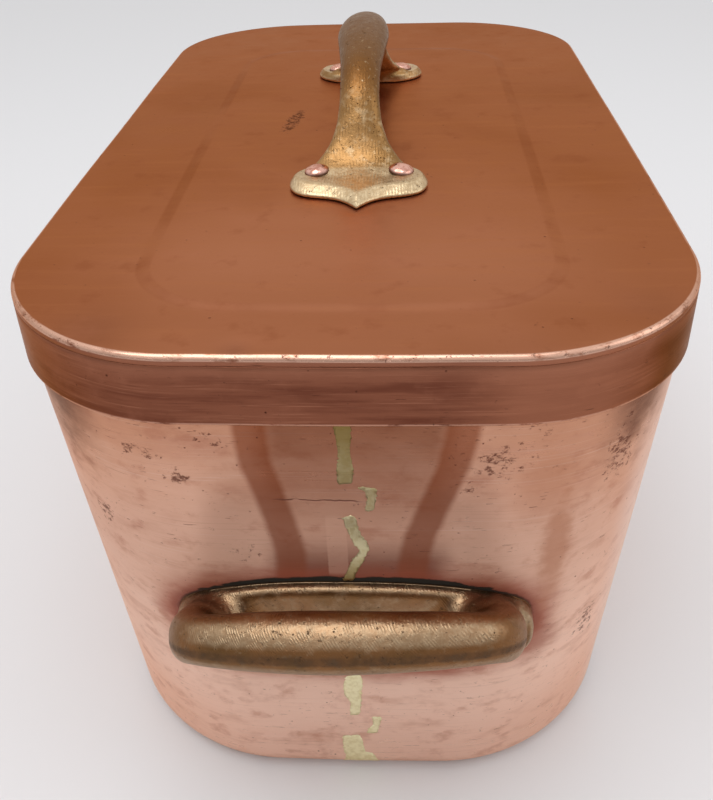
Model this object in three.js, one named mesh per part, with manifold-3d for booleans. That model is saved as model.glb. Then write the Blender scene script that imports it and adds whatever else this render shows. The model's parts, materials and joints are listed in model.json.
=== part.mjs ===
// A rectangular copper braising pan with a cap lid and cast brass handles.
// The wall is one sheet, wrapped round and joined in the middle of the front end by a cramped seam: the
// edges are cut into tabs that mesh, and the joint is filled with brass. The wall's lower edge is turned
// under and meets the bottom in a second cramped seam. The lid is a flat sheet with its edge turned down
// onto a band that caps the rim. Millimetres, +Z up; the origin is on the table under the pan's middle,
// the long axis is Y and the front end faces -Y.
import * as THREE from "three";
import { mergeVertices } from "three/addons/utils/BufferGeometryUtils.js";
import Module from "manifold-3d";

const wasm = await Module();
wasm.setup();

// Gap left between pieces that touch
const fitGap = 0.3;

// Pan: outside sizes at the rim, and the sheet it is made of
const panWidth = 250;
const panLength = 448;
const panHeight = 233;
const cornerRadius = 70;
const sideBow = 1;
const endBow = 3.5;
const panSheet = 2;
const endTaper = 13;
const sideTaper = 8;
const collarHeight = 26;
const rimRound = 0.6;
const baseRadius = 12;
const baseCornerRadius = 81;
const baseTurn = 7;

// Cramped seams: length of one pair of tabs, their depth, the slope between two tabs, the brass
// between the edges, and how far the wall's seam lies to the right of the middle
const crampPitch = 31;
const crampDepth = 8;
const crampSlope = 2.5;
const brazeWidth = 4.5;
const seamAside = 4;

// Lid: the cap and the low panel that is pressed up in its top
const lidSheet = 1.5;
const lidClearance = 1.2;
const skirtDepth = 27;
const arrisRadius = 2.2;
const turnedEdge = 4;
const panelWidth = 155;
const panelLength = 345;
const panelForward = 22.5;
const panelCorner = 34;
const panelRise = 0.8;
const panelSlope = 3;

// End handles: an oval plate, and a bowed grip that rises away from the wall
const handleHeight = 104.3;
const plateWidth = 142;
const plateHeight = 51;
const plateThickness = 5;
const plateBevel = 1.4;
const plateFullness = 2.55;
const gripReach = 47;
const gripTilt = 44;
const gripSpan = 134;
const gripTurn = 1.8;
const gripAside = 1.2;
const gripThickness = 19.4;
const gripDepth = 22.4;
const plateRivetSpacing = 23;

// Lid handle: a bridge with two bracket-shaped feet
const bridgeHeight = 50;
const bridgeSpan = 231;
const bridgeGripWidth = 25.2;
const bridgeGripThickness = 15.2;
const bridgeNeckWidth = 18;
const footWidth = 60.4;
const footLength = 44;
const footThickness = 4.6;
const footBevel = 6.5;
const footEdge = 1.3;
const lidRivetAcross = 37;
const lidRivetFromToe = 31.5;

// Rivets
const shankRadius = 3;
const headRadius = 5.65;
const headHeight = 3;
const closedHeadRadius = 5.2;
const closedHeadHeight = 1.8;

// Smoothness of the curves
const cornerSteps = 9;
const sideSteps = 3;
const bendSteps = 4;
const rivetSides = 12;

const lidTop = panHeight + fitGap + lidSheet;
const lidReach = lidClearance + lidSheet;
const cutMargin = 5;

// Meshes and solids

// Merges equal corners and drops the faces that this closes up, such as those at a lathe's axis.
function weld(geometry) {
  const bare = geometry.clone();
  bare.deleteAttribute("normal");
  bare.deleteAttribute("uv");
  const merged = mergeVertices(bare, 1e-4);
  const corners = merged.index.array;
  const kept = [];
  for (let i = 0; i < corners.length; i += 3) {
    const [a, b, c] = [corners[i], corners[i + 1], corners[i + 2]];
    if (a !== b && b !== c && c !== a) kept.push(a, b, c);
  }
  merged.setIndex(kept);
  return merged;
}

function toSolid(geometry) {
  const welded = weld(geometry);
  return new wasm.Manifold(new wasm.Mesh({
    numProp: 3,
    vertProperties: new Float32Array(welded.attributes.position.array),
    triVerts: new Uint32Array(welded.index.array),
  }));
}

function toGeometry(solid) {
  const mesh = solid.getMesh();
  const geometry = new THREE.BufferGeometry();
  geometry.setAttribute("position", new THREE.Float32BufferAttribute(mesh.vertProperties, 3));
  geometry.setIndex(Array.from(mesh.triVerts));
  return geometry;
}

// Skins rings that all have the same number of points and run anticlockwise round the line of travel.
// A looped skin closes on itself; any other one gets a flat cap at each end.
function skin(rings, looped = false) {
  const count = rings[0].length;
  const points = rings.flat();
  const faces = [];
  const spans = looped ? rings.length : rings.length - 1;
  for (let ring = 0; ring < spans; ring += 1) {
    const near = ring * count;
    const far = ((ring + 1) % rings.length) * count;
    for (let i = 0; i < count; i += 1) {
      const j = (i + 1) % count;
      faces.push(near + i, near + j, far + j, near + i, far + j, far + i);
    }
  }
  if (!looped) {
    const start = points.push(middleOf(rings[0])) - 1;
    const end = points.push(middleOf(rings.at(-1))) - 1;
    const last = (rings.length - 1) * count;
    for (let i = 0; i < count; i += 1) {
      const j = (i + 1) % count;
      faces.push(start, j, i, end, last + i, last + j);
    }
  }
  const geometry = new THREE.BufferGeometry().setFromPoints(points);
  geometry.setIndex(faces);
  return geometry;
}

function middleOf(ring) {
  const middle = new THREE.Vector3();
  ring.forEach((point) => middle.add(point));
  return middle.divideScalar(ring.length);
}

// A flat outline made solid between two heights.
function plateBetween(outline, low, high, hole = null) {
  const shape = new THREE.Shape(outline);
  if (hole) shape.holes.push(new THREE.Path(hole));
  const geometry = new THREE.ExtrudeGeometry(shape, { depth: high - low, bevelEnabled: false });
  return geometry.translate(0, 0, low);
}

// Plan of the pan and lid

// A rounded rectangle in plan whose sides bow outwards a little.
function planRing(halfX, halfY, radius, z, middleY = 0) {
  const flat = [];
  const corners = [[1, 1], [-1, 1], [-1, -1], [1, -1]];
  const cornerPoint = ([signX, signY], angle) => new THREE.Vector2(
    signX * (halfX - radius) + radius * Math.cos(angle),
    signY * (halfY - radius) + radius * Math.sin(angle),
  );
  corners.forEach((corner, side) => {
    const start = (side * Math.PI) / 2;
    const end = start + Math.PI / 2;
    for (let i = 0; i <= cornerSteps; i += 1) {
      flat.push(cornerPoint(corner, start + ((end - start) * i) / cornerSteps));
    }
    const from = cornerPoint(corner, end);
    const to = cornerPoint(corners[(side + 1) % 4], end);
    for (let i = 1; i < sideSteps; i += 1) flat.push(from.clone().lerp(to, i / sideSteps));
  });
  return flat.map(({ x, y }) => new THREE.Vector3(
    x + ((sideBow * x) / halfX) * (1 - (y / halfY) ** 2),
    middleY + y + ((endBow * y) / halfY) * (1 - (x / halfX) ** 2),
    z,
  ));
}

// The same plan drawn a given distance inside the pan's rim, or outside it where that is negative.
const rimRing = (inset, z) => planRing(
  panWidth / 2 - inset, panLength / 2 - inset, cornerRadius - inset, z);

// Below the collar the wall leans in and its corners widen: from 0 at the collar to 1 at the table.
const shoulder = panHeight - collarHeight;
const leanShare = (z) => Math.max(0, 1 - z / shoulder);
const wallTilt = Math.atan(endTaper / shoulder);

// The wall's plan at one height, drawn a given distance inside its outer face and set at any height.
function wallRing(inset, z, planHeight = z) {
  const share = leanShare(planHeight);
  return planRing(
    panWidth / 2 - sideTaper * share - inset,
    panLength / 2 - endTaper * share - inset,
    cornerRadius + (baseCornerRadius - cornerRadius) * share - inset,
    z);
}

// Quarter circle as [inset, height] pairs, from the bottom of a round edge to its side, or back.
function roundEdge(centreInset, centreHeight, radius, upwards) {
  const pairs = [];
  for (let i = 0; i <= bendSteps; i += 1) {
    const angle = (Math.PI / 2) * (upwards ? i / bendSteps : 1 - i / bendSteps);
    pairs.push([centreInset - radius * Math.sin(angle), centreHeight - radius * Math.cos(angle)]);
  }
  return pairs;
}

// Cramped seams

// Corners of a line of tabs: distances along it, and the side that each corner is on.
function crampCorners(start, pitch, pairs) {
  const corners = [];
  for (let i = 0; i < pairs; i += 1) {
    const from = start + i * pitch;
    const half = pitch / 2;
    corners.push([from + crampSlope / 2, 1], [from + half - crampSlope / 2, 1]);
    corners.push([from + half + crampSlope / 2, -1], [from + pitch - crampSlope / 2, -1]);
  }
  return corners;
}

// Moves a line of points to its right by a constant distance, with mitred corners.
function offsetLine(line, distance, closed) {
  const last = line.length - 1;
  const rightOf = (from, to) => {
    const along = to.clone().sub(from).normalize();
    return new THREE.Vector2(along.y, -along.x);
  };
  return line.map((point, i) => {
    const before = line[i > 0 ? i - 1 : last];
    const after = line[i < last ? i + 1 : 0];
    const arriving = closed || i > 0 ? rightOf(before, point) : rightOf(point, after);
    const leaving = closed || i < last ? rightOf(point, after) : arriving;
    const mitre = distance / (1 + arriving.dot(leaving));
    return point.clone().addScaledVector(arriving.clone().add(leaving), mitre);
  });
}

const brazeHalf = brazeWidth / 2;
const slitHalf = brazeHalf + fitGap;

// The base seam runs round the flat of the base, midway along the wall's turned-in edge.
const seamInset = baseRadius + baseTurn;
const baseSeamLine = (() => {
  const track = new THREE.CatmullRomCurve3(wallRing(seamInset, 0, baseRadius), true);
  const length = track.getLength();
  const pairs = Math.round(length / crampPitch);
  return crampCorners(0, length / pairs, pairs).map(([along, side]) => {
    const u = (along / length) % 1;
    const point = track.getPointAt(u);
    const tangent = track.getTangentAt(u);
    const shift = (side * crampDepth) / 2;
    return new THREE.Vector2(point.x + tangent.y * shift, point.y - tangent.x * shift);
  });
})();

// The wall seam's tabs are spaced so that the front handle's middle rivet passes beside one.
const wallSeamLine = (() => {
  const below = Math.ceil(handleHeight / crampPitch) + 1;
  const start = handleHeight - crampPitch / 4 - below * crampPitch;
  const pairs = Math.ceil((panHeight + cutMargin - start) / crampPitch);
  return crampCorners(start, crampPitch, pairs).map(([height, side]) => (
    new THREE.Vector2(seamAside + (side * crampDepth) / 2, height)));
})();

// A strip along the wall seam, made solid through the front end and the base under it.
function wallSeamPrism(halfWidth) {
  const right = offsetLine(wallSeamLine, halfWidth, false);
  const left = offsetLine(wallSeamLine, -halfWidth, false);
  const front = -panLength / 2 - endBow - cutMargin;
  const back = -panLength / 2 + endTaper + seamInset + crampDepth + cutMargin;
  const geometry = plateBetween([...right, ...left.reverse()], -back, -front);
  return toSolid(geometry.rotateX(Math.PI / 2));
}

// Rivets

// A rivet along its own Z axis. Zero is the seat of its domed head, and a flatter head is closed over
// the inside at the depth given.
function rivetGeometry(depth) {
  const closed = -depth - closedHeadHeight;
  const profile = [
    [0, closed], [closedHeadRadius * 0.6, closed], [closedHeadRadius, closed + closedHeadHeight / 2],
    [closedHeadRadius, -depth], [shankRadius, -depth], [shankRadius, 0], [headRadius, 0],
  ];
  const edge = headHeight * 0.2;
  const crown = headHeight - edge;
  for (let i = 0; i <= bendSteps; i += 1) {
    const angle = (Math.PI / 2) * (i / bendSteps);
    profile.push([headRadius * Math.cos(angle), edge + crown * Math.sin(angle)]);
  }
  const points = profile.map(([radius, height]) => new THREE.Vector2(Math.max(radius, 0), height));
  return new THREE.LatheGeometry(points, rivetSides).rotateX(Math.PI / 2);
}

// The hole a rivet passes through, from under its seat to past its closed head.
function rivetHole(depth) {
  const length = depth + 2 * closedHeadHeight;
  const hole = new THREE.CylinderGeometry(shankRadius + fitGap, shankRadius + fitGap, length, rivetSides);
  return hole.rotateX(Math.PI / 2).translate(0, 0, -depth / 2);
}

// A flat seat cut round a rivet's head.
function rivetSeat() {
  const seat = new THREE.CylinderGeometry(headRadius + fitGap, headRadius + fitGap, headHeight * 4, rivetSides);
  return seat.rotateX(Math.PI / 2).translate(0, 0, headHeight * 2 - fitGap);
}

// End handles, in a frame of their own: X along the plate, +Z up the wall, -Y away from the wall

const plateFace = fitGap + plateThickness;
const frontWallPoint = new THREE.Vector3(
  0, -panLength / 2 - endBow + endTaper * leanShare(handleHeight), handleHeight);
const toFrontWall = new THREE.Matrix4().makeRotationX(wallTilt).setPosition(frontWallPoint);
const halfTurn = new THREE.Matrix4().makeRotationZ(Math.PI);

// The plate's outline is a full oval, between an ellipse and a rectangle.
function plateOutline() {
  const points = [];
  const steps = 48;
  const power = 2 / plateFullness;
  for (let i = 0; i < steps; i += 1) {
    const angle = (2 * Math.PI * i) / steps;
    const [x, z] = [Math.cos(angle), Math.sin(angle)];
    points.push(new THREE.Vector2(
      (plateWidth / 2) * Math.sign(x) * Math.abs(x) ** power,
      (plateHeight / 2) * Math.sign(z) * Math.abs(z) ** power,
    ));
  }
  return points;
}

// Skins ovals set square to a path in one plane. Each size is [half across the plane, half within it].
function ovalSweep(path, sizes, acrossPlane, steps, sides) {
  const rings = [];
  for (let i = 0; i <= steps; i += 1) {
    const t = i / steps;
    const centre = path.getPoint(t);
    const within = path.getTangent(t).cross(acrossPlane).normalize();
    const size = sizes.getPoint(t);
    rings.push(Array.from({ length: sides }, (_, k) => {
      const angle = (2 * Math.PI * k) / sides;
      return centre.clone()
        .addScaledVector(acrossPlane, size.x * Math.cos(angle))
        .addScaledVector(within, size.y * Math.sin(angle));
    }));
  }
  return skin(rings);
}

// The first half of a symmetric list, followed by its mirror image.
function mirrored(half, mirror) {
  return [...half, ...half.slice(0, -1).reverse().map(mirror)];
}

// The bowed grip: it flares where it leaves the plate and swells to an oval across the middle. It was cast
// a little crooked, so it stands slightly to one side and turned.
function gripGeometry() {
  const tilt = THREE.MathUtils.degToRad(gripTilt);
  const outwards = new THREE.Vector3(0, -Math.cos(tilt), Math.sin(tilt));
  const acrossPlane = new THREE.Vector3(0, Math.sin(tilt), Math.cos(tilt));
  const [thick, deep] = [gripThickness / 2, gripDepth / 2];
  const side = gripSpan / 2;
  const stations = [
    [side - 1.75 * thick, -plateFace, 1.45 * deep, 1.8 * thick],
    [side - 1.8 * thick, plateFace, 1.38 * deep, 1.75 * thick],
    [side - 1.4 * thick, 0.3 * gripReach, 1.2 * deep, 1.42 * thick],
    [side - 1.05 * thick, 0.55 * gripReach, 0.98 * deep, 1.03 * thick],
    [side - 1.55 * thick, 0.79 * gripReach, 0.84 * deep, 0.9 * thick],
    [0.47 * side, 0.94 * gripReach, 0.93 * deep, 0.96 * thick],
    [0, gripReach, deep, thick],
  ];
  const place = ([x, reach]) => outwards.clone().multiplyScalar(reach).add(new THREE.Vector3(-x, 0, 0));
  const size = ([, , across, within]) => new THREE.Vector3(across, within, 0);
  const flip = (v) => new THREE.Vector3(-v.x, v.y, v.z);
  const path = new THREE.CatmullRomCurve3(mirrored(stations.map(place), flip));
  const sizes = new THREE.CatmullRomCurve3(mirrored(stations.map(size), (v) => v.clone()));
  return ovalSweep(path, sizes, acrossPlane, 30, 14)
    .rotateY(-THREE.MathUtils.degToRad(gripTurn)).translate(-gripAside, 0, 0);
}

// Seats of the three rivets, as places in the handle's frame whose Z axis points away from the wall.
const plateRivetSeats = [-plateRivetSpacing, 0, plateRivetSpacing].map((x) => (
  new THREE.Matrix4().makeRotationX(Math.PI / 2).setPosition(x, -plateFace - fitGap, 0)));

// The rivet has to reach past the bowed wall at the far side of the outer heads.
const bowDrop = endBow * ((plateRivetSpacing + closedHeadRadius) / (panWidth / 2 - sideTaper)) ** 2;
const plateRivetDepth = plateFace + fitGap + panSheet + bowDrop + fitGap;

function endHandleSolid() {
  const backing = plateHeight / 4;
  const plate = new THREE.ExtrudeGeometry(new THREE.Shape(plateOutline()), {
    depth: backing + plateFace - 2 * plateBevel,
    bevelThickness: plateBevel, bevelSize: plateBevel, bevelOffset: -plateBevel, bevelSegments: 2,
  });
  plate.rotateX(Math.PI / 2).translate(0, backing - plateBevel, 0);
  let handle = toSolid(plate).add(toSolid(gripGeometry()));
  for (const seat of plateRivetSeats) {
    handle = handle.subtract(toSolid(rivetHole(plateRivetDepth).applyMatrix4(seat)));
  }
  const placed = toSolid(toGeometry(handle).applyMatrix4(toFrontWall));
  const wallBlock = skin([
    wallRing(-fitGap, 0), wallRing(-fitGap, shoulder), wallRing(-fitGap, panHeight),
  ]);
  return placed.subtract(toSolid(wallBlock));
}

const frontRivetPlaces = plateRivetSeats.map((seat) => toFrontWall.clone().multiply(seat));
const rearRivetPlaces = frontRivetPlaces.map((place) => halfTurn.clone().multiply(place));

// Pan

// The wall sheet before its seams are cut: up the outside, over the rim and down the inside.
function rawWall() {
  const edge = seamInset + crampDepth / 2;
  const profile = [
    [edge, 0],
    ...roundEdge(baseRadius, baseRadius, baseRadius, true),
    [0, shoulder], [0, panHeight - rimRound], [rimRound, panHeight],
    [panSheet - rimRound, panHeight], [panSheet, panHeight - rimRound], [panSheet, shoulder],
    ...roundEdge(baseRadius, baseRadius, baseRadius - panSheet, false),
    [edge, panSheet],
  ];
  const rings = profile.map(([inset, z]) => wallRing(inset, z, Math.max(z, baseRadius)));
  return toSolid(skin(rings, true));
}

function panSolids() {
  const wall = rawWall();
  const insideBase = offsetLine(baseSeamLine, slitHalf, true);
  const baseCut = toSolid(plateBetween(insideBase, -cutMargin, panSheet + fitGap));
  let sheet = wall.subtract(wallSeamPrism(slitHalf)).subtract(baseCut);
  let braze = wall.intersect(wallSeamPrism(brazeHalf)).subtract(baseCut);
  for (const place of [...frontRivetPlaces, ...rearRivetPlaces]) {
    const hole = toSolid(rivetHole(plateRivetDepth).applyMatrix4(place));
    sheet = sheet.subtract(hole);
    braze = braze.subtract(hole);
  }
  return { sheet, braze };
}

function bottomGeometry() {
  return plateBetween(offsetLine(baseSeamLine, -slitHalf, true), 0, panSheet);
}

function baseBrazeGeometry() {
  const outer = offsetLine(baseSeamLine, brazeHalf, true);
  const inner = offsetLine(baseSeamLine, -brazeHalf, true);
  return plateBetween(outer, 0, panSheet, inner);
}

// Lid

const lidRing = (inset, z) => rimRing(inset - lidReach, z);
const panelRing = (grow, z) => planRing(
  panelWidth / 2 + grow, panelLength / 2 + grow, panelCorner + grow, z, -panelForward);

// The lid's top sheet: from the middle of its underside out to the turned edge, and back over the top.
function lidTopSolid() {
  const under = lidTop - lidSheet;
  const rings = [
    panelRing(-panelSlope / 2, under + panelRise), panelRing(panelSlope / 2, under),
    ...roundEdge(arrisRadius, 0, arrisRadius - lidSheet, true)
      .map(([inset, drop]) => lidRing(inset, lidTop - arrisRadius - drop)),
    lidRing(lidSheet, lidTop - turnedEdge), lidRing(0, lidTop - turnedEdge),
    ...roundEdge(arrisRadius, 0, arrisRadius, false)
      .map(([inset, drop]) => lidRing(inset, lidTop - arrisRadius - drop)),
    panelRing(panelSlope / 2, lidTop), panelRing(-panelSlope / 2, lidTop + panelRise),
  ];
  let sheet = toSolid(skin(rings));
  for (const place of lidRivetPlaces) {
    sheet = sheet.subtract(toSolid(rivetHole(lidRivetDepth).applyMatrix4(place)));
  }
  return sheet;
}

function lidBandGeometry() {
  const low = lidTop - skirtDepth;
  const high = lidTop - turnedEdge - fitGap;
  const edge = lidSheet / 3;
  const profile = [
    [edge, low], [0, low + edge], [0, high], [lidSheet, high], [lidSheet, low + edge], [lidSheet - edge, low],
  ];
  return skin(profile.map(([inset, z]) => lidRing(inset, z)), true);
}

// Lid handle

const bridgeSeat = lidTop + panelRise + fitGap;
const toeReach = bridgeSpan / 2;
const heelReach = toeReach - footLength;

const lidRivetDepth = footThickness + lidSheet + 3 * fitGap;
const lidRivetPlaces = [[-1, -1], [1, -1], [-1, 1], [1, 1]].map(([signX, signY]) => (
  new THREE.Matrix4().makeTranslation(
    (signX * lidRivetAcross) / 2,
    signY * (toeReach - lidRivetFromToe),
    bridgeSeat + footThickness + fitGap,
  )));

// Right half of a foot's outline, from the point of the toe round the ear to the heel. The top face is
// the same outline drawn in by the bevel, which is broad along the toe and narrow beside the rivets.
function halfFoot(bevel, z) {
  const ear = footWidth / 2;
  const side = bevel * 0.4;
  const rivetX = lidRivetAcross / 2;
  const outline = new THREE.Shape();
  outline.moveTo(0, toeReach - bevel * 1.25);
  outline.bezierCurveTo(
    ear * 0.1, toeReach - bevel * 1.25 - 3, ear * 0.17, toeReach - bevel - 8.5,
    ear * 0.42, toeReach - bevel - 11);
  outline.bezierCurveTo(
    ear * 0.62, toeReach - bevel - 13, ear * 0.95 - side, toeReach - bevel - 12.5,
    ear - side, toeReach - footLength * 0.58 - side);
  outline.bezierCurveTo(
    ear + 0.5 - side, heelReach + 12, ear - 3 - side, heelReach + 7 + side / 2,
    rivetX + 2.5, heelReach + 3 + side / 2);
  outline.bezierCurveTo(
    rivetX - 1, heelReach + 1, rivetX - 5, heelReach, 0, heelReach);
  return outline.getPoints(8).map((p) => new THREE.Vector3(p.x, -p.y, z));
}

function footGeometry() {
  const ring = (bevel, z) => {
    const half = halfFoot(bevel, bridgeSeat + z);
    const inner = half.slice(1, -1).reverse();
    return [...half, ...inner.map((p) => new THREE.Vector3(-p.x, p.y, p.z))];
  };
  const crown = footThickness * 0.93;
  return skin([ring(0, 0), ring(0, footEdge), ring(footBevel * 0.8, crown), ring(footBevel, footThickness)]);
}

// The bridge between the feet: its roots spread over the feet, its necks are narrow, and the grip swells.
function bridgeGeometry() {
  const [grip, thick] = [bridgeGripWidth / 2, bridgeGripThickness / 2];
  const neck = bridgeNeckWidth / 2;
  const spread = lidRivetAcross / 2;
  const rise = bridgeHeight - thick;
  const stations = [
    [heelReach + 20, footThickness * 0.55, spread * 1.15, footThickness * 0.42],
    [heelReach + 11, footThickness * 0.85, spread * 1.25, footThickness * 0.62],
    [heelReach + 4.5, rise * 0.16, spread, thick * 0.52],
    [heelReach - 1.5, rise * 0.3, (spread + neck) * 0.48, thick * 0.66],
    [heelReach - 6.5, rise * 0.48, neck * 1.13, thick * 0.76],
    [heelReach - 13, rise * 0.69, neck, thick * 0.82],
    [heelReach - 25, rise * 0.86, neck * 1.02, thick * 0.88],
    [heelReach * 0.34, rise * 0.97, (grip + neck) * 0.51, thick * 0.97],
    [0, rise, grip, thick],
  ];
  const place = ([y, z]) => new THREE.Vector3(0, -y, bridgeSeat + z);
  const size = ([, , across, within]) => new THREE.Vector3(across, within, 0);
  const flip = (v) => new THREE.Vector3(v.x, -v.y, v.z);
  const path = new THREE.CatmullRomCurve3(mirrored(stations.map(place), flip));
  const sizes = new THREE.CatmullRomCurve3(mirrored(stations.map(size), (v) => v.clone()));
  return ovalSweep(path, sizes, new THREE.Vector3(1, 0, 0), 34, 14);
}

function lidHandleSolid() {
  const frontFoot = footGeometry();
  const rearFoot = frontFoot.clone().applyMatrix4(halfTurn);
  let handle = toSolid(bridgeGeometry()).add(toSolid(frontFoot)).add(toSolid(rearFoot));
  for (const place of lidRivetPlaces) {
    handle = handle.subtract(toSolid(rivetHole(lidRivetDepth).applyMatrix4(place)));
    handle = handle.subtract(toSolid(rivetSeat().applyMatrix4(place)));
  }
  return handle;
}

// Materials and assembly

const finish = {
  panCopper: { color: 0xc07d62, roughness: 0.38, metalness: 1 },
  lidCopper: { color: 0xa5603f, roughness: 0.42, metalness: 1 },
  castBrass: { color: 0xa9834f, roughness: 0.45, metalness: 1 },
  braze: { color: 0xbfae6c, roughness: 0.4, metalness: 1 },
  rivetCopper: { color: 0xb9705a, roughness: 0.3, metalness: 1 },
};

function addPiece(group, name, shape, material) {
  const geometry = shape instanceof THREE.BufferGeometry ? weld(shape) : toGeometry(shape);
  const mesh = new THREE.Mesh(geometry, new THREE.MeshStandardMaterial(material));
  mesh.name = name;
  group.add(mesh);
  return mesh;
}

const pan = new THREE.Group();
const { sheet: wallSheet, braze: wallBraze } = panSolids();
addPiece(pan, "pan_wall", wallSheet, finish.panCopper);
addPiece(pan, "wall_seam_braze", wallBraze, finish.braze);
addPiece(pan, "pan_bottom", bottomGeometry(), finish.panCopper);
addPiece(pan, "base_seam_braze", baseBrazeGeometry(), finish.braze);

const handleSolid = endHandleSolid();
addPiece(pan, "front_handle", handleSolid, finish.castBrass);
const rearHandle = toGeometry(handleSolid).applyMatrix4(halfTurn);
addPiece(pan, "rear_handle", rearHandle, finish.castBrass);
const rivetNames = ["left", "middle", "right"];
for (const [end, places] of [["front", frontRivetPlaces], ["rear", rearRivetPlaces]]) {
  places.forEach((place, i) => {
    const rivet = rivetGeometry(plateRivetDepth).applyMatrix4(place);
    addPiece(pan, `${end}_handle_rivet_${rivetNames[i]}`, rivet, finish.rivetCopper);
  });
}

const lid = new THREE.Group();
addPiece(lid, "lid_top", lidTopSolid(), finish.lidCopper);
addPiece(lid, "lid_band", lidBandGeometry(), finish.lidCopper);
addPiece(lid, "lid_handle", lidHandleSolid(), finish.castBrass);
const footNames = ["front_left", "front_right", "rear_left", "rear_right"];
lidRivetPlaces.forEach((place, i) => {
  const rivet = rivetGeometry(lidRivetDepth).applyMatrix4(place);
  addPiece(lid, `lid_rivet_${footNames[i]}`, rivet, finish.rivetCopper);
});

const braisingPan = new THREE.Group();
braisingPan.add(pan, lid);

export default braisingPan;
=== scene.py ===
# %% [markdown]
# # A rectangular copper braising pan
# The real pan is one copper sheet wrapped into a wall, a copper bottom, a lid that caps the rim,
# and three brass handles that were cast, filed and riveted on. This lesson dresses its frame: the
# frame holds every piece at its true size, and each cell below makes one piece, or one finish, to
# go over it. All sizes are written in millimetres, as a coppersmith would, and turned into metres
# at the end.

# %% Load the frame
import json
import math

import bpy
import numpy as np
from mathutils import Matrix, Vector
from mathutils.geometry import delaunay_2d_cdt

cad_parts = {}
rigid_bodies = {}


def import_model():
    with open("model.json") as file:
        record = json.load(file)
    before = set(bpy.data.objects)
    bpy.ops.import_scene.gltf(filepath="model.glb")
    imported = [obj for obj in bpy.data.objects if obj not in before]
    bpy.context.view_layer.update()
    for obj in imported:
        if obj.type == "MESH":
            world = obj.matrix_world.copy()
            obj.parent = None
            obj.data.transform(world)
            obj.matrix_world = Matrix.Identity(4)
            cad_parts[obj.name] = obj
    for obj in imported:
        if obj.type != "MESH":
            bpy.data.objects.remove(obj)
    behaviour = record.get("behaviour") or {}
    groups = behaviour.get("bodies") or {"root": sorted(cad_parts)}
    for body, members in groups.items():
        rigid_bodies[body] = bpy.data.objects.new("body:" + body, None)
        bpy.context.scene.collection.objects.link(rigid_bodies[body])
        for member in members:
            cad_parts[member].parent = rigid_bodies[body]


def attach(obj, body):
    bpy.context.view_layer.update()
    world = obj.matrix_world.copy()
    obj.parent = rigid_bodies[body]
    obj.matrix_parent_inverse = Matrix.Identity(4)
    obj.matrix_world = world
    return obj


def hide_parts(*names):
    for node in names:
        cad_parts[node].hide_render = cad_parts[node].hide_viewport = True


for leftover in list(bpy.data.objects):
    bpy.data.objects.remove(leftover)
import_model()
bpy.context.view_layer.update()

# %% [markdown]
# The sizes repeat those of the frame. Keeping them in one cell means that a finer surface made
# here lands exactly where the plain solid stands.

# %% Sizes in millimetres
HALF_WIDTH, HALF_LENGTH, HEIGHT = 125.0, 224.0, 233.0
CORNER, BASE_CORNER, SIDE_BOW, END_BOW = 70.0, 81.0, 1.0, 3.5
SHEET, END_TAPER, SIDE_TAPER, COLLAR, BASE_ROUND = 2.0, 13.0, 8.0, 26.0, 12.0
LID_SHEET, SKIRT, ARRIS, TURNED_EDGE = 1.5, 27.0, 2.2, 4.0
LID_TOP = HEIGHT + 0.3 + LID_SHEET
LID_REACH = 2.6
PANEL_HALF = (77.5, 172.5)
PANEL_FORWARD, PANEL_CORNER, PANEL_RISE, PANEL_SLOPE = 22.5, 34.0, 0.7, 6.5
SHOULDER = HEIGHT - COLLAR
SEAM_INSET = BASE_ROUND + 7.0
HANDLE_HEIGHT, PLATE_HALF, PLATE_FULLNESS = 104.3, (71.0, 25.5), 2.55
WALL_TILT = math.atan(END_TAPER / SHOULDER)
FOOT_SEAT = LID_TOP + 1.1


def wall_plan(z, inset=0.0):
    """Half width, half length and corner radius of the wall at a height. It leans in below the
    collar, and its corners widen towards the base."""
    share = np.clip(1 - np.maximum(z, BASE_ROUND) / SHOULDER, 0, None)
    return (HALF_WIDTH - SIDE_TAPER * share - inset, HALF_LENGTH - END_TAPER * share - inset,
            CORNER + (BASE_CORNER - CORNER) * share - inset)


def end_wall(x, z):
    """Distance of the end wall's outside from the middle of the pan, at a place x, z."""
    below = np.clip(BASE_ROUND - z, 0, BASE_ROUND)
    half_x, half_y, radius = wall_plan(z, BASE_ROUND - np.sqrt(BASE_ROUND ** 2 - below ** 2))
    into_corner = np.clip(np.abs(x) - (half_x - radius), 0, radius)
    y = half_y - radius + np.sqrt(radius ** 2 - into_corner ** 2)
    return y + END_BOW * y / half_y * (1 - np.clip(np.abs(x) / half_x, 0, 1) ** 2)


print("the front wall bows out to", round(float(end_wall(0.0, 200.0)), 1), "mm at 200 mm up")

# %% [markdown]
# Both shader trees and Geometry Nodes trees are graphs of nodes and wires. Writing sums as nodes
# is slow to read, so a small class wraps a socket: `a * 2 + b` on wires then adds the Math nodes
# by itself. Every other node comes from one method, which takes its settings first and its inputs
# after that.


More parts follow.
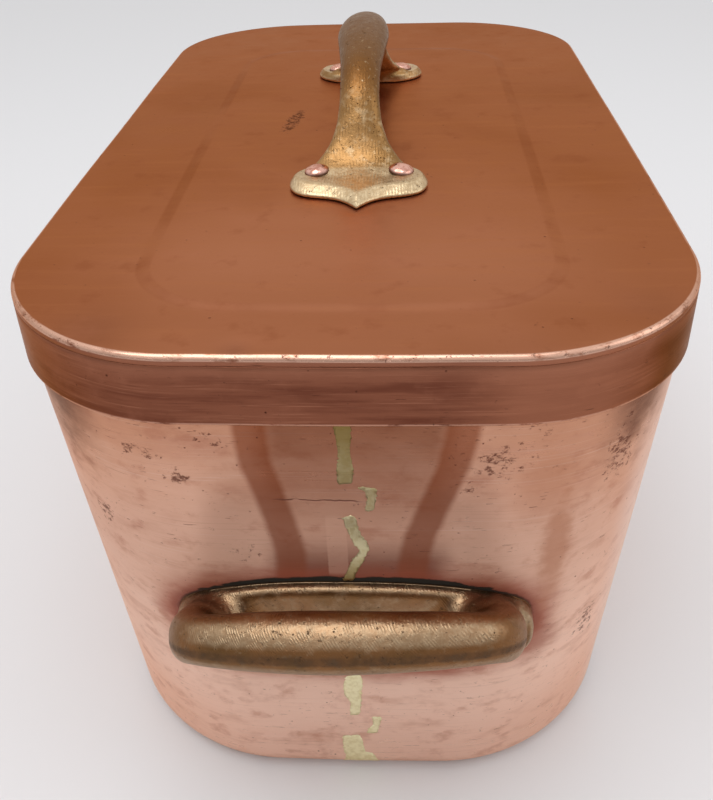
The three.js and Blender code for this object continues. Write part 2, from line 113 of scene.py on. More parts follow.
# %% Wires and graphs
class Wire:
    """An output socket that can stand in a sum."""

    def __init__(self, graph, socket):
        self.graph, self.socket = graph, socket

    def out(self, key):
        return Wire(self.graph, self.socket.node.outputs[key])

    def sum(self, operation, a, b=0.0):
        return self.graph.node("ShaderNodeMath", {"operation": operation}, {0: a, 1: b})

    def __add__(self, other): return self.sum("ADD", self, other)
    def __radd__(self, other): return self.sum("ADD", other, self)
    def __sub__(self, other): return self.sum("SUBTRACT", self, other)
    def __rsub__(self, other): return self.sum("SUBTRACT", other, self)
    def __mul__(self, other): return self.sum("MULTIPLY", self, other)
    def __rmul__(self, other): return self.sum("MULTIPLY", other, self)
    def __truediv__(self, other): return self.sum("DIVIDE", self, other)
    def __rtruediv__(self, other): return self.sum("DIVIDE", other, self)
    def __pow__(self, other): return self.sum("POWER", self, other)
    def __rpow__(self, other): return self.sum("POWER", other, self)
    def __neg__(self): return self.sum("MULTIPLY", self, -1.0)
    def __abs__(self): return self.sum("ABSOLUTE", self)
    def most(self, other): return self.sum("MAXIMUM", self, other)


class Graph:
    """A node tree that is filled by calls."""

    def __init__(self, tree):
        self.tree = tree

    def node(self, kind, settings=None, inputs=None, out=0):
        made = self.tree.nodes.new(kind)
        for name, value in (settings or {}).items():
            setattr(made, name, value)
        for key, value in (inputs or {}).items():
            if isinstance(value, Wire):
                self.tree.links.new(value.socket, made.inputs[key])
            else:
                made.inputs[key].default_value = value
        return Wire(self, made.outputs[out]) if len(made.outputs) else made

    def vector(self, operation, a, b, c=(0.0, 0.0, 0.0)):
        return self.node("ShaderNodeVectorMath", {"operation": operation}, {0: a, 1: b, 2: c})

    def scaled(self, vector, by):
        return self.node("ShaderNodeVectorMath", {"operation": "SCALE"}, {0: vector, "Scale": by})

    def apart(self, vector):
        """The x, y and z of a vector."""
        spot = self.node("ShaderNodeSeparateXYZ", inputs={0: vector})
        return spot, spot.out(1), spot.out(2)

    def together(self, x=0.0, y=0.0, z=0.0):
        return self.node("ShaderNodeCombineXYZ", inputs={0: x, 1: y, 2: z})

    def step(self, value, low, high):
        """Rises softly from 0 at low to 1 at high."""
        return self.node("ShaderNodeMapRange", {"interpolation_type": "SMOOTHSTEP"},
                         {0: value, 1: float(low), 2: float(high)})

    def fall(self, value, low, high):
        """Drops softly from 1 at low to 0 at high."""
        return 1 - self.step(value, low, high)


print("graph helpers ready")


# %% [markdown]
# Each finished piece has to be one plain mesh with its place in the mesh and its faces outwards.
# These helpers read and write a mesh's points, put numbers on them, and turn an object with
# modifiers into a plain mesh. The last one checks the sign of a piece's volume and puts the piece
# on its body.


# %% Mesh helpers
def read(items, name, width=3, kind=np.float32):
    """One property of many items, as a row of numbers for each."""
    values = np.empty(len(items) * width, kind)
    items.foreach_get(name, values)
    return values.reshape(-1, width)


def points_of(mesh):
    return read(mesh.vertices, "co").astype(float) * 1000


def settle(mesh, points):
    """Moves a mesh's points to places in millimetres."""
    mesh.vertices.foreach_set("co", (np.asarray(points) / 1000).astype(np.float32).ravel())
    mesh.update()


def note(mesh, name, values):
    """Gives each point of a mesh one number, which a finish can read."""
    layer = mesh.attributes.new(name, "FLOAT", "POINT")
    layer.data.foreach_set("value", np.asarray(values, np.float32))


def mesh_of(points, faces, **notes):
    """A mesh from points in millimetres."""
    mesh = bpy.data.meshes.new("raw")
    mesh.from_pydata((np.asarray(points, float) / 1000).tolist(), [], faces)
    for name, values in notes.items():
        note(mesh, name, values)
    mesh.update()
    return mesh


def closed_line(name, points):
    """A mesh of edges alone, closed into a ring."""
    mesh, count = bpy.data.meshes.new(name), len(points)
    mesh.from_pydata(points.tolist(), [(i, (i + 1) % count) for i in range(count)], [])
    return mesh


def in_scene(name, data):
    """A new object that puts a mesh, a lamp or a camera into the scene."""
    made = bpy.data.objects.new(name, data)
    bpy.context.scene.collection.objects.link(made)
    return made


def made_plain(holder):
    """The plain mesh that an object's modifiers make. The object itself is thrown away."""
    ready = holder.evaluated_get(bpy.context.evaluated_depsgraph_get())
    made = bpy.data.meshes.new_from_object(ready)
    holder.modifiers.clear()
    bpy.data.objects.remove(holder)
    return made


def volume_of(mesh):
    mesh.calc_loop_triangles()
    corners = read(mesh.loop_triangles, "vertices", kind=np.int32)
    a, b, c = read(mesh.vertices, "co").astype(float)[corners].transpose(1, 0, 2)
    return float(np.einsum("ij,ij->i", a, np.cross(b, c)).sum() / 6)


def piece(name, mesh, material, body, slot, *nodes):
    """Names a finished mesh, turns its faces outwards, and puts it on its body in the frame."""
    mesh.name = name
    if volume_of(mesh) < 0:
        mesh.flip_normals()
    mesh.materials.clear()
    mesh.materials.append(material)
    mesh.shade_smooth()
    made = in_scene(name, mesh)
    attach(made, body)
    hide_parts(*nodes)
    print(f"{name}: {len(mesh.loop_triangles)} triangles, {volume_of(mesh) * 1e6:.1f} cm3")


print("mesh helpers ready")

# %% [markdown]
# Many pieces are rings of points with skin between them: the pan's plan at one height after
# another, a round edge, or ovals along a curve. These helpers make the rings and the skin.


# %% Rings and skins
def ramp(values, start, width):
    """0 at the start, then rising evenly to 1 over the width. A width below 0 runs downwards."""
    return np.clip((values - start) / width, 0, 1)


def skin(rings):
    """Points and faces between rings of equal count, capped by a fan at each end."""
    rings = [np.asarray(ring, float) for ring in rings]
    count, last = len(rings[0]), len(rings) - 1
    points, faces = np.concatenate(rings), []
    step = np.arange(count)
    after = (step + 1) % count
    for ring in range(last):
        near, far = ring * count, (ring + 1) * count
        faces += np.stack([near + step, near + after, far + after, far + step], 1).tolist()
    for ring in (0, last):
        a, b = ring * count + step, ring * count + after
        pair = (a, b) if ring else (b, a)
        faces += np.stack([np.full(count, len(points)), *pair], 1).tolist()
        points = np.vstack([points, rings[ring].mean(0)])
    return points, faces


def joined(shapes):
    """Several shapes of points and faces as one."""
    points, faces = np.zeros((0, 3)), []
    for more, new_faces in shapes:
        faces += [tuple(i + len(points) for i in face) for face in new_faces]
        points = np.vstack([points, more])
    return points, faces


def along_outline(outline, distances):
    """Points on a closed outline, at the distances that a function works out from its length."""
    closed = np.vstack([outline, outline[:1]])
    along = np.concatenate([[0], np.cumsum(np.linalg.norm(np.diff(closed, axis=0), axis=1))])
    wanted = distances(along[-1])
    return np.stack([np.interp(wanted, along, closed[:, k]) for k in (0, 1)], 1)


def plan(half_x, half_y, radius, middle_y=0.0, count=400):
    """Evenly spaced points round a rounded rectangle with slightly bowed sides, anticlockwise."""
    corners = []
    for side, (sign_x, sign_y) in enumerate([(1, 1), (-1, 1), (-1, -1), (1, -1)]):
        turn = np.linspace(side, side + 1, 60) * math.pi / 2
        corners.append(np.stack([sign_x * (half_x - radius) + radius * np.cos(turn),
                                 sign_y * (half_y - radius) + radius * np.sin(turn)], 1))
    x, y = along_outline(np.concatenate(corners),
                         lambda length: np.linspace(0, length, count, endpoint=False)).T
    return np.stack([x + SIDE_BOW * x / half_x * (1 - (y / half_y) ** 2),
                     middle_y + y + END_BOW * y / half_y * (1 - (x / half_x) ** 2)], 1)


def at_height(flat, z):
    return np.column_stack([flat, np.full(len(flat), float(z))])


def arc(centre_inset, centre_z, radius, start, end, steps):
    """Part of a round edge as rows of (inset, height); 0 degrees points down and 90 outwards."""
    turn = np.radians(np.linspace(start, end, steps + 1))
    return np.stack([centre_inset - radius * np.sin(turn), centre_z - radius * np.cos(turn)], 1)


print("ring helpers ready")

# %% [markdown]
# Geometry Nodes make what follows a rule. Three trees are built below, and they share three
# habits: each starts with named inputs for its sizes, moves its shape a little by a noise that is
# the same at every run, and ends by realizing its instances and setting the material, because the
# export drops instances.


# %% Helpers for Geometry Nodes
def new_tree(name, takes, sizes, gives):
    """An empty tree as a graph, its input node, and the identifier of each named size."""
    tree = bpy.data.node_groups.new(name, "GeometryNodeTree")
    face = tree.interface
    face.new_socket(takes, in_out="INPUT", socket_type="NodeSocketGeometry")
    known = {size: face.new_socket(size, in_out="INPUT", socket_type="NodeSocketFloat").identifier
             for size in sizes}
    face.new_socket(gives, in_out="OUTPUT", socket_type="NodeSocketGeometry")
    graph = Graph(tree)
    return graph, graph.node("NodeGroupInput"), known


def resampled(graph, curve, step):
    return graph.node("GeometryNodeResampleCurve", {"mode": "LENGTH"},
                      {"Curve": curve, "Length": step})


def shaken(graph, shape, noise, by, keep=(1.0, 1.0, 1.0)):
    """Moves a shape by a noise, along the axes that are kept."""
    drift = graph.vector("SUBTRACT", noise.out(1), (0.5, 0.5, 0.5))
    offset = graph.scaled(graph.vector("MULTIPLY", drift, keep), by)
    return graph.node("GeometryNodeSetPosition", inputs={"Geometry": shape, "Offset": offset})


def end_tree(graph, shape, material):
    shape = graph.node("GeometryNodeRealizeInstances", inputs={0: shape})
    shape = graph.node("GeometryNodeSetMaterial", inputs={"Geometry": shape, "Material": material})
    graph.node("NodeGroupOutput", inputs={0: shape})


def grown(name, mesh, graph, known, sizes):
    """Runs a tree on a mesh and gives the plain mesh that it makes."""
    holder = in_scene(name, mesh)
    modifier = holder.modifiers.new("grow", "NODES")
    modifier.node_group = graph.tree
    for size, value in sizes.items():
        modifier[known[size]] = value
    return made_plain(holder)


LEVEL = (1.0, 1.0, 0.0)
print("tree helpers ready")

# %% [markdown]
# The wall and the lid's skirt are one small section carried round a track. The tree makes the
# track as a rectangle with filleted corners, bows its sides, and carries the section round it
# with Curve to Mesh. A noise then moves the sheet sideways by a tenth of a millimetre, because a
# beaten sheet is never flat.


# %% A tree that carries a section round the pan's plan
def wrap_tree(material):
    graph, given, known = new_tree(
        "sheet_round_plan", "Section", (
            "Half width", "Half length", "Corner radius", "Side bow", "End bow", "Step", "Ripple"),
        "Sheet")
    half_x, half_y = given.out("Half width"), given.out("Half length")
    track = graph.node("GeometryNodeCurvePrimitiveQuadrilateral", {"mode": "RECTANGLE"},
                       {0: half_x * 2, 1: half_y * 2})
    track = graph.node("GeometryNodeFilletCurve", {"mode": "POLY"},
                       {"Curve": track, "Radius": given.out("Corner radius"), "Count": 48})
    track = resampled(graph, track, given.out("Step"))
    x, y, _ = graph.apart(graph.node("GeometryNodeInputPosition"))
    x, y = x / half_x, y / half_y
    bow = graph.together(given.out("Side bow") * x * (1 - y * y),
                         given.out("End bow") * y * (1 - x * x))
    track = graph.node("GeometryNodeSetPosition", inputs={"Geometry": track, "Offset": bow})
    section = graph.node("GeometryNodeMeshToCurve", inputs={0: given})
    sheet = graph.node("GeometryNodeCurveToMesh", inputs={"Curve": track, "Profile Curve": section})
    noise = graph.node("ShaderNodeTexNoise", inputs={"Scale": 22.0, "Detail": 1.0})
    end_tree(graph, shaken(graph, sheet, noise, given.out("Ripple"), LEVEL), material)
    return graph, known


def wrapped(name, section, lining, outward, material, step=3.0, ripple=0.25):
    """A sheet with a closed section of (inset, height) rows, wrapped round the pan's plan."""
    section = np.asarray(section, float)
    mesh = closed_line("section", np.column_stack([section / -1000, np.zeros(len(section))]))
    note(mesh, "lining", lining)
    sizes = {"Half width": HALF_WIDTH + outward, "Half length": HALF_LENGTH + outward,
             "Corner radius": CORNER + outward, "Side bow": SIDE_BOW, "End bow": END_BOW,
             "Step": step, "Ripple": ripple}
    in_metres = {size: value / 1000 for size, value in sizes.items()}
    return grown(name, mesh, *wrap_tree(material), in_metres)


print("wrapping tree ready")

# %% [markdown]
# A finish is a Principled shader whose colour, roughness and relief come from patterns in the
# object's own coordinates, here in millimetres so that each pattern's size can be read off. The
# small helpers below are the vocabulary: grains of a size, soft bands, blots at a place, and
# coats of colour.


# %% Finish helpers
def shade(red, green, blue):
    """A colour as a paint chart gives it, 0 to 255, in the linear light that a shader works in."""
    return tuple(((v / 255 + 0.055) / 1.055) ** 2.4 if v > 10 else v / 3294.6
                 for v in (red, green, blue))


class Finish(Graph):
    """A metal finish. Places are in millimetres in the object's own coordinates."""

    def __init__(self, name):
        self.material = bpy.data.materials.new(name)
        self.material.use_nodes = True
        super().__init__(self.material.node_tree)
        self.tree.nodes.clear()
        self.place = self.scaled(self.node("ShaderNodeTexCoord").out("Object"), 1000.0)
        self.x, self.y, self.z = self.apart(self.place)

    def pattern(self, kind, size, shift, **inputs):
        """A texture with one size, or a size for each axis. A shift makes it unlike the others."""
        size = size * 3 if len(size) == 1 else size
        place = self.vector("MULTIPLY_ADD", self.place, tuple(1 / v for v in size),
                            (shift, shift * 1.7, shift * 2.3))
        return self.node(kind, inputs={"Vector": place, "Scale": 1.0, **inputs})

    def grain(self, *size, detail=2.0, rough=0.5, shift=0.0):
        """Noise from about 0.3 to 0.7."""
        return self.pattern("ShaderNodeTexNoise", size, shift, Detail=detail, Roughness=rough)

    def band(self, value, low, high, soft):
        """1 between low and high, fading out over a soft margin."""
        rise = self.step(value, low - soft, low + soft)
        return rise * self.fall(value, high - soft, high + soft)

    def blot(self, x, z, reach_x, reach_z, ragged):
        """A soft patch on an upright wall, 1 in its middle. A noise makes its edge ragged."""
        across, up = (self.x - x) / reach_x, (self.z - z) / reach_z
        return self.fall((across * across + up * up) ** 0.5 + (ragged - 0.5) * 1.6, 0.25, 1.0)

    def colour(self, value):
        return value if isinstance(value, Wire) else (*shade(*value), 1.0)

    def over(self, under, *coats):
        """Lays coats over a colour, one on another. Each is a colour, and how much of it shows."""
        for top, share in coats:
            under = self.node("ShaderNodeMix", {"data_type": "RGBA"},
                              {0: share, 6: self.colour(under), 7: self.colour(top)}, out=2)
        return under

    def number(self, under, top, mask):
        return under + (top - under) * mask

    def mark(self, name):
        """A number that the mesh carries at each point."""
        return self.node("ShaderNodeAttribute", {"attribute_name": name}, out=2)

    def relief(self, *bumps):
        """Bumps one on another. Each is a height from 0 to 1, and the millimetres it stands for."""
        below = {}
        for height, depth in bumps:
            below = {"Normal": self.node("ShaderNodeBump", inputs={
                "Height": height, "Strength": 1.0, "Distance": depth / 1000, **below})}
        return below["Normal"]

    def done(self, colour, rough, relief, metallic=1.0, brushed=0.0, edge=(1.0, 0.8, 0.68)):
        """Brushed metal smears its reflections. The edge tints what is seen at a slant."""
        shader = self.node("ShaderNodeBsdfPrincipled", inputs={
            "Base Color": colour, "Roughness": rough, "Metallic": metallic, "Normal": relief,
            "Specular Tint": (*edge, 1.0), "Anisotropic": brushed,
            "Anisotropic Rotation": 0.25 if brushed else 0.0})
        self.node("ShaderNodeOutputMaterial", inputs={0: shader})
        print(f"finish {self.material.name}: {len(self.tree.nodes)} nodes")
        return self.material


# %% [markdown]
# Three marks come back in more than one finish. Pits are the middles of a few cells of a Voronoi
# pattern, and scratches are stretched noise, cut where a second noise allows them. Wiped tin is
# grey and satin, with a warm stain low down, and it covers whatever the mesh marks as lining.


# %% Pits, scratches and tin
def pits(finish, spacing, share, shift, size):
    """Small round pits: about one in each cell, thinned to a share of the cells."""
    cell = finish.pattern("ShaderNodeTexVoronoi", (spacing,), shift)
    chosen = finish.node("ShaderNodeSeparateColor", inputs={0: cell.out("Color")})
    return finish.fall(cell, size * 0.35, size) * finish.step(chosen, 1 - share, 1.02 - share)


def scratches(finish, along, across, share, shift):
    """Thin broken lines along a level wall."""
    line = finish.grain(along, along, across, shift=shift)
    where = finish.grain(along * 0.6, along * 0.6, across * 9, shift=shift + 4)
    return finish.step(line, 0.64, 0.7) * finish.step(where, 1 - share, 1.06 - share)


def tinned(finish, colour, rough):
    """A copper's colour and roughness, with tin over them on the lining."""
    wipe = finish.grain(70.0, 70.0, 2.2, detail=3.0, rough=0.6, shift=11.0)
    cloud = finish.grain(38.0, detail=3.0, rough=0.55, shift=5.0)
    low = finish.fall(finish.z + (cloud - 0.5) * 60, 18.0, 105.0)
    tin = finish.over((178, 176, 168), ((146, 143, 134), finish.step(wipe, 0.36, 0.66)),
                      ((160, 138, 108), low * finish.step(cloud, 0.35, 0.7) * 0.75),
                      ((96, 84, 70), finish.step(cloud * wipe, 0.36, 0.46) * 0.4))
    lining = finish.step(finish.mark("lining"), 0.4, 0.6)
    tin_rough = 0.34 + (wipe - 0.5) * 0.25 + low * 0.1
    return finish.over(colour, (tin, lining)), finish.number(rough, tin_rough, lining)


print("marks ready")

# %% [markdown]
# Old copper is never one colour. The wall is pale pink low down and browner up under the lid: a
# painted reflection of the pale floor below, and painted shade under the lid. It is redder still
# in a ring round each handle, where no cloth reaches. Polishing leaves fine level streaks. The
# front has stains of its own, each laid on at its place, and painted reflections as well.


# %% Colours of the wall
def bright_copper(finish, smear, mottle, streaks):
    """Pale low down and browner towards the lid, as painted reflection and shade, with mottling and
    polishing streaks.
    """
    cloud = finish.grain(85.0, shift=1.0)
    up = finish.z + (cloud - 0.5) * 60 + (smear - 0.5) * 50
    # Painted reflection and shade: paler low down, browner up towards the lid
    return finish.over((240, 200, 180), ((224, 178, 155), finish.step(up, 50.0, 160.0)),
                       ((198, 138, 106), finish.step(up, 150.0, 216.0) * 0.8),
                       ((200, 148, 126), finish.step(smear, 0.5, 0.7) * 0.45),
                       ((178, 114, 90), finish.step(mottle, 0.52, 0.72) * 0.4),
                       ((240, 212, 198), finish.step(streaks, 0.56, 0.74) * 0.3),
                       ((164, 108, 88), finish.step(1 - streaks, 0.58, 0.74) * 0.25))


def painted_front_reflection(finish, colour, smear, is_front):
    """Painted reflection on the front: browner between the handle and the lid, and two soft dark
    bands down it.
    """
    band_top, band_length, high_apart, closing = 205.0, 65.0, 35.8, 12.8
    drop = (band_top - finish.z) / band_length
    apart = high_apart - finish.step(drop, 0.0, 1.0) * closing
    sway = (smear - 0.5) * 5
    off_band = abs(abs(finish.x - 3.6 + drop * 3.2) - apart + sway * 0.4)
    clear = finish.step(finish.z, 118.0, 134.0)
    band = finish.fall(off_band, 4.0, 7.4) * clear * is_front
    middle = finish.fall(abs(finish.x - 3) + sway, 26.0, 38.0) * is_front
    height = finish.z + sway
    # Painted reflection: a browner middle, darkest just over the handle, and two dark bands
    return finish.over(colour, ((158, 94, 62), middle * clear * 0.22),
                       ((118, 62, 36), middle * finish.step(height, 156.0, 208.0) * 0.66),
                       ((106, 46, 28), middle * finish.band(height, 122.0, 146.0, 10.0) * 0.8),
                       ((136, 67, 35), band * 0.72))


def plate_distance(finish):
    """Millimetres outside a handle's plate: its oval's value, divided by how fast that grows."""
    across = abs(finish.x) / PLATE_HALF[0]
    up = abs(finish.z - HANDLE_HEIGHT) / PLATE_HALF[1]
    oval = (across ** PLATE_FULLNESS + up ** PLATE_FULLNESS) ** (1 / PLATE_FULLNESS)
    power = PLATE_FULLNESS - 1
    slope_x, slope_z = across ** power / PLATE_HALF[0], up ** power / PLATE_HALF[1]
    growth = (slope_x * slope_x + slope_z * slope_z) ** 0.5 / oval ** power
    return (oval - 1) / growth.most(0.008)


def round_plates(finish, colour, smear, rag, is_end, away):
    """A redder ring round each handle's plate, painted shade close round it, and a black line along
    its upper edge that is dirt with painted shade.
    """
    ring = finish.fall(away + (smear - 0.5) * 16, 0.0, 15.0) * is_end
    above = finish.step(finish.z, HANDLE_HEIGHT + 4, HANDLE_HEIGHT + 22)
    thick = 0.6 + above * 2.2 * finish.step(rag + (62 - abs(finish.x)) * 0.008, 0.4, 0.75)
    # Dirt with painted shade: a black line where the plate meets the wall, thicker above it
    grime_and_shade = finish.fall(away - thick, -0.5, 0.5) * is_end * (0.25 + 0.75 * above)
    # Painted shade close round the plate
    near = finish.fall(away, 0.0, 5.5) * is_end
    return finish.over(colour, ((156, 76, 52), ring * 0.88), ((130, 64, 52), near * 0.6),
                       ((34, 33, 29), grime_and_shade)), grime_and_shade


def stains_and_pale_reflection(finish, colour, smear, mottle, rag, is_front):
    """A brown arc above the handle, dark corners under the lid, a pale corner that is a painted
    reflection, and a faint tab.
    """
    arc_stain = (finish.blot(70.0, 176.0, 19.0, 26.0, smear) * 0.6).most(
        finish.blot(76.5, 144.0, 8.5, 42.0, mottle)) * finish.step(-finish.y, 150.0, 190.0)
    low_stain = finish.blot(72.0, 89.0, 16.0, 20.0, smear) * is_front
    corner = finish.band(abs(finish.x), 93.0, 114.0, 10.0)
    corner = corner * finish.step(abs(finish.y), 150.0, 200.0)
    under_lid = corner * finish.step(finish.z + (mottle - 0.5) * 40, 170.0, 204.0)
    # Painted reflection: the right corner of the front is paler
    pale = finish.step(finish.x, 100.0, 115.0) * finish.step(-finish.y, 80.0, 170.0)
    tab = finish.band(finish.x + (rag - 0.5) * 0.8, -8.5, -1.0, 0.3)
    tab = tab * finish.band(finish.z, 134.0, 164.0, 1.5) * is_front
    return finish.over(colour, ((176, 112, 78), arc_stain * 0.6), ((152, 84, 64), low_stain * 0.6),
                       ((92, 52, 42), under_lid * 0.85),
                       ((240, 220, 212), pale * (1 - under_lid) * 0.6),
                       ((232, 186, 162), tab * 0.28))


print("colours of the wall ready")

# %% [markdown]
# The years leave dark pits in clusters, nicks along the level, and one crack beside the seam.
# Where the copper was damaged it is both darker and rougher, and the relief dips there.

# %% Copper of the wall, and its tin lining
# Where pits crowd on the front wall: middle x and z, then half the width and half the height
CROWDS = [(52.0, 190.0, 12.0, 12.0), (42.0, 180.0, 9.0, 7.0), (97.0, 183.0, 9.0, 22.0),
          (-72.0, 192.0, 10.0, 4.0), (-60.0, 182.0, 9.0, 5.0), (97.0, 84.0, 8.0, 16.0),
          (-96.0, 150.0, 7.0, 12.0)]
CRACK_HEIGHT = 172.4


def damage(finish, mottle, is_front):
    """How dark each place is with pits, specks, nicks and the crack."""
    crowd = finish.step(finish.grain(30.0, detail=3.0, rough=0.6, shift=9.0), 0.6, 0.76) * 0.7
    for middle_x, middle_z, reach_x, reach_z in CROWDS:
        crowd = crowd.most(finish.blot(middle_x, middle_z, reach_x, reach_z, mottle))
    bite = finish.grain(3.2, 3.8, 2.4, detail=4.0, rough=0.72, shift=4.0)
    pitted = finish.step(bite + crowd * 0.16, 0.63, 0.78)
    specks = pits(finish, 9.0, 0.35, 1.0, 0.07).most(pits(finish, 4.2, 0.2, 5.0, 0.11))
    long_nicks = scratches(finish, 26.0, 0.35, 0.4, 8.0)
    nicks = scratches(finish, 9.0, 0.5, 0.42, 3.0).most(long_nicks * 0.7)
    wander = finish.grain(7.0, shift=19.0)
    crack = finish.fall(abs(finish.z - CRACK_HEIGHT + (wander - 0.5) * 2.4), 0.12, 0.5)
    crack = crack * finish.band(finish.x, -25.0, 4.0, 3.0) * is_front
    crack = crack * finish.step(wander, 0.3, 0.38)
    return pitted.most(specks * 0.8).most(nicks * 0.7).most(crack)


def wall_copper():
    finish = Finish("worn_wall_copper")
    streaks = finish.grain(60.0, 60.0, 0.7, detail=3.0, rough=0.65)
    mottle = finish.grain(14.0, 14.0, 9.0, detail=4.0, rough=0.6, shift=7.0)
    smear = finish.grain(30.0, 30.0, 11.0, detail=4.0, rough=0.6, shift=17.0)
    rag = finish.grain(9.0, 9.0, 4.0, detail=3.0, rough=0.65, shift=2.0)
    is_front = finish.step(-finish.y, 150.0, 200.0)
    is_end = finish.step(abs(finish.y), 150.0, 190.0)
    away = plate_distance(finish) + (rag - 0.5) * 3
    colour = bright_copper(finish, smear, mottle, streaks)
    colour = painted_front_reflection(finish, colour, smear, is_front)
    colour, grime_and_shade = round_plates(finish, colour, smear, rag, is_end, away)
    colour = stains_and_pale_reflection(finish, colour, smear, mottle, rag, is_front)
    dark = damage(finish, mottle, is_front)
    dull = finish.fall(away, 12.0, 55.0) * is_end
    rough = 0.33 + (mottle - 0.5) * 0.3 + (streaks - 0.5) * 0.2
    rough = rough + dark * 0.25 + dull * 0.26 + grime_and_shade * 0.4
    colour, rough = tinned(finish, finish.over(colour, ((104, 56, 46), dark * 0.78)), rough)
    relief = finish.relief((streaks, 0.06), (1 - dark, 0.16),
                           (finish.grain(26.0, detail=1.0, shift=6.0), 0.45))
    return finish.done(colour, rough, relief, 1 - grime_and_shade.most(dull * 0.8) * 0.85, brushed=0.7)


WALL_COPPER = wall_copper()

# %% [markdown]
# The lid has been left to brown: it is the same copper under a thin even film of oxide, orange
# where it is thin and chestnut where it is thick, with painted reflection in its colour as well,
# most of all on the darker skirt. Its upper edge is rubbed bright under a painted highlight, and
# the lip of the skirt is rubbed bright too.


# %% Copper of the lid
def lid_top_colour(finish, cloud, wiping, mottle):
    """Orange-brown, with a painted highlight along the middle of the front, and darker at the sides.
    """
    # Painted highlight: lighter along the middle of the front
    front = finish.step(-finish.y + (cloud - 0.5) * 120, 20.0, 170.0)
    front = front * finish.fall(abs(finish.x), 40.0, 115.0)
    front = front * (1 - finish.step(-finish.y, 150.0, 210.0) * 0.7)
    return finish.over((167, 106, 75), ((187, 126, 97), front * 0.85),
                       ((150, 88, 56), finish.step(cloud, 0.45, 0.65) * 0.4),
                       ((184, 120, 82), finish.step(wiping, 0.5, 0.75) * 0.3),
                       ((138, 78, 50), finish.step(mottle, 0.56, 0.75) * 0.3))


def skirt_colour(finish, streaks, mottle):
    """Darker and redder, partly oxide and partly painted reflection, with level streaks, and paler
    along the top and right of the front.
    """
    bands = finish.grain(60.0, 60.0, 6.0, detail=3.0, rough=0.6, shift=21.0)
    near = finish.step(-finish.y, 120.0, 180.0)
    upper = finish.step(finish.z + (mottle - 0.5) * 8, LID_TOP - 12, LID_TOP - 3)
    return finish.over((134, 82, 62), ((112, 64, 48), finish.step(bands, 0.4, 0.62)),
                       ((168, 112, 88), finish.step(streaks, 0.54, 0.74) * 0.6),
                       ((88, 47, 36), finish.step(1 - streaks, 0.55, 0.75) * 0.6),
                       ((156, 100, 78), finish.step(mottle, 0.5, 0.7) * 0.35),
                       ((178, 116, 88), finish.band(finish.x, 46.0, 96.0, 16.0) * near * 0.5),
                       ((84, 46, 34), finish.step(finish.x, 98.0, 112.0) * near * 0.85),
                       ((168, 112, 88), upper * 0.45))


def lid_copper():
    finish = Finish("browned_lid_copper")
    flat = finish.step(finish.z, LID_TOP - 1.2, LID_TOP - 0.2)
    streaks = finish.grain(38.0, 38.0, 0.9, detail=4.0, rough=0.7, shift=2.0)
    wiping = finish.grain(60.0, 6.0, 60.0, detail=4.0, rough=0.6, shift=8.0)
    mottle = finish.grain(16.0, detail=4.0, rough=0.6, shift=4.0)
    cloud = finish.grain(90.0, shift=6.0)
    colour = finish.over(skirt_colour(finish, streaks, mottle),
                         (lid_top_colour(finish, cloud, wiping, mottle), flat))
    # The raised panel's line is painted shade on its slope; the upper edge is rubbed bright with a
    # painted highlight, and the lip is bright
    arris = finish.mark("arris")
    # Painted shade along the slope of the raised panel
    line = finish.mark("panel_line") * 0.42 * finish.step(cloud + mottle * 0.4, 0.55, 0.8)
    wear = finish.grain(9.0, 9.0, 3.0, detail=4.0, rough=0.7, shift=13.0)
    # Wear with a painted highlight along the arris
    edge = arris * finish.step(wear, 0.3, 0.5)
    lip = finish.fall(finish.z, LID_TOP - SKIRT + 0.5, LID_TOP - SKIRT + 1.3)
    colour = finish.over(colour, ((138, 76, 50), line), ((228, 184, 162), edge * 0.85),
                         ((214, 164, 140), lip * finish.step(wear, 0.34, 0.5) * 0.8))
    # A slanting cluster of pits left of the handle, and fine pits and nicks everywhere
    bite = finish.grain(2.2, detail=4.0, rough=0.72, shift=4.0)
    spot_x, spot_y = (finish.x + 38.3 - finish.y * 0.17) / 6, (finish.y - 6) / 27
    cluster = finish.fall((spot_x * spot_x + spot_y * spot_y) ** 0.5 + (mottle - 0.5), 0.3, 1.0)
    dark = finish.step(bite + cluster * 0.24 + arris * 0.07, 0.66, 0.78)
    dark = dark.most(pits(finish, 11.0, 0.3, 2.0, 0.055)).most(pits(finish, 5.0, 0.12, 8.0, 0.1))
    dark = dark.most(scratches(finish, 12.0, 0.4, 0.42, 3.0) * (1 - flat) * 0.7)
    rough = 0.36 + (mottle - 0.5) * 0.3 + (streaks - 0.5) * 0.2 + dark * 0.2 - edge * 0.08
    colour, rough = tinned(finish, finish.over(colour, ((74, 40, 31), dark * 0.75)), rough)
    relief = finish.relief((finish.number(streaks, wiping, flat), 0.06), (1 - dark, 0.14),
                           (finish.grain(30.0, detail=1.0, shift=3.0), 0.35))
    return finish.done(colour, rough, relief, edge=(0.9, 0.6, 0.45))


LID_COPPER = lid_copper()
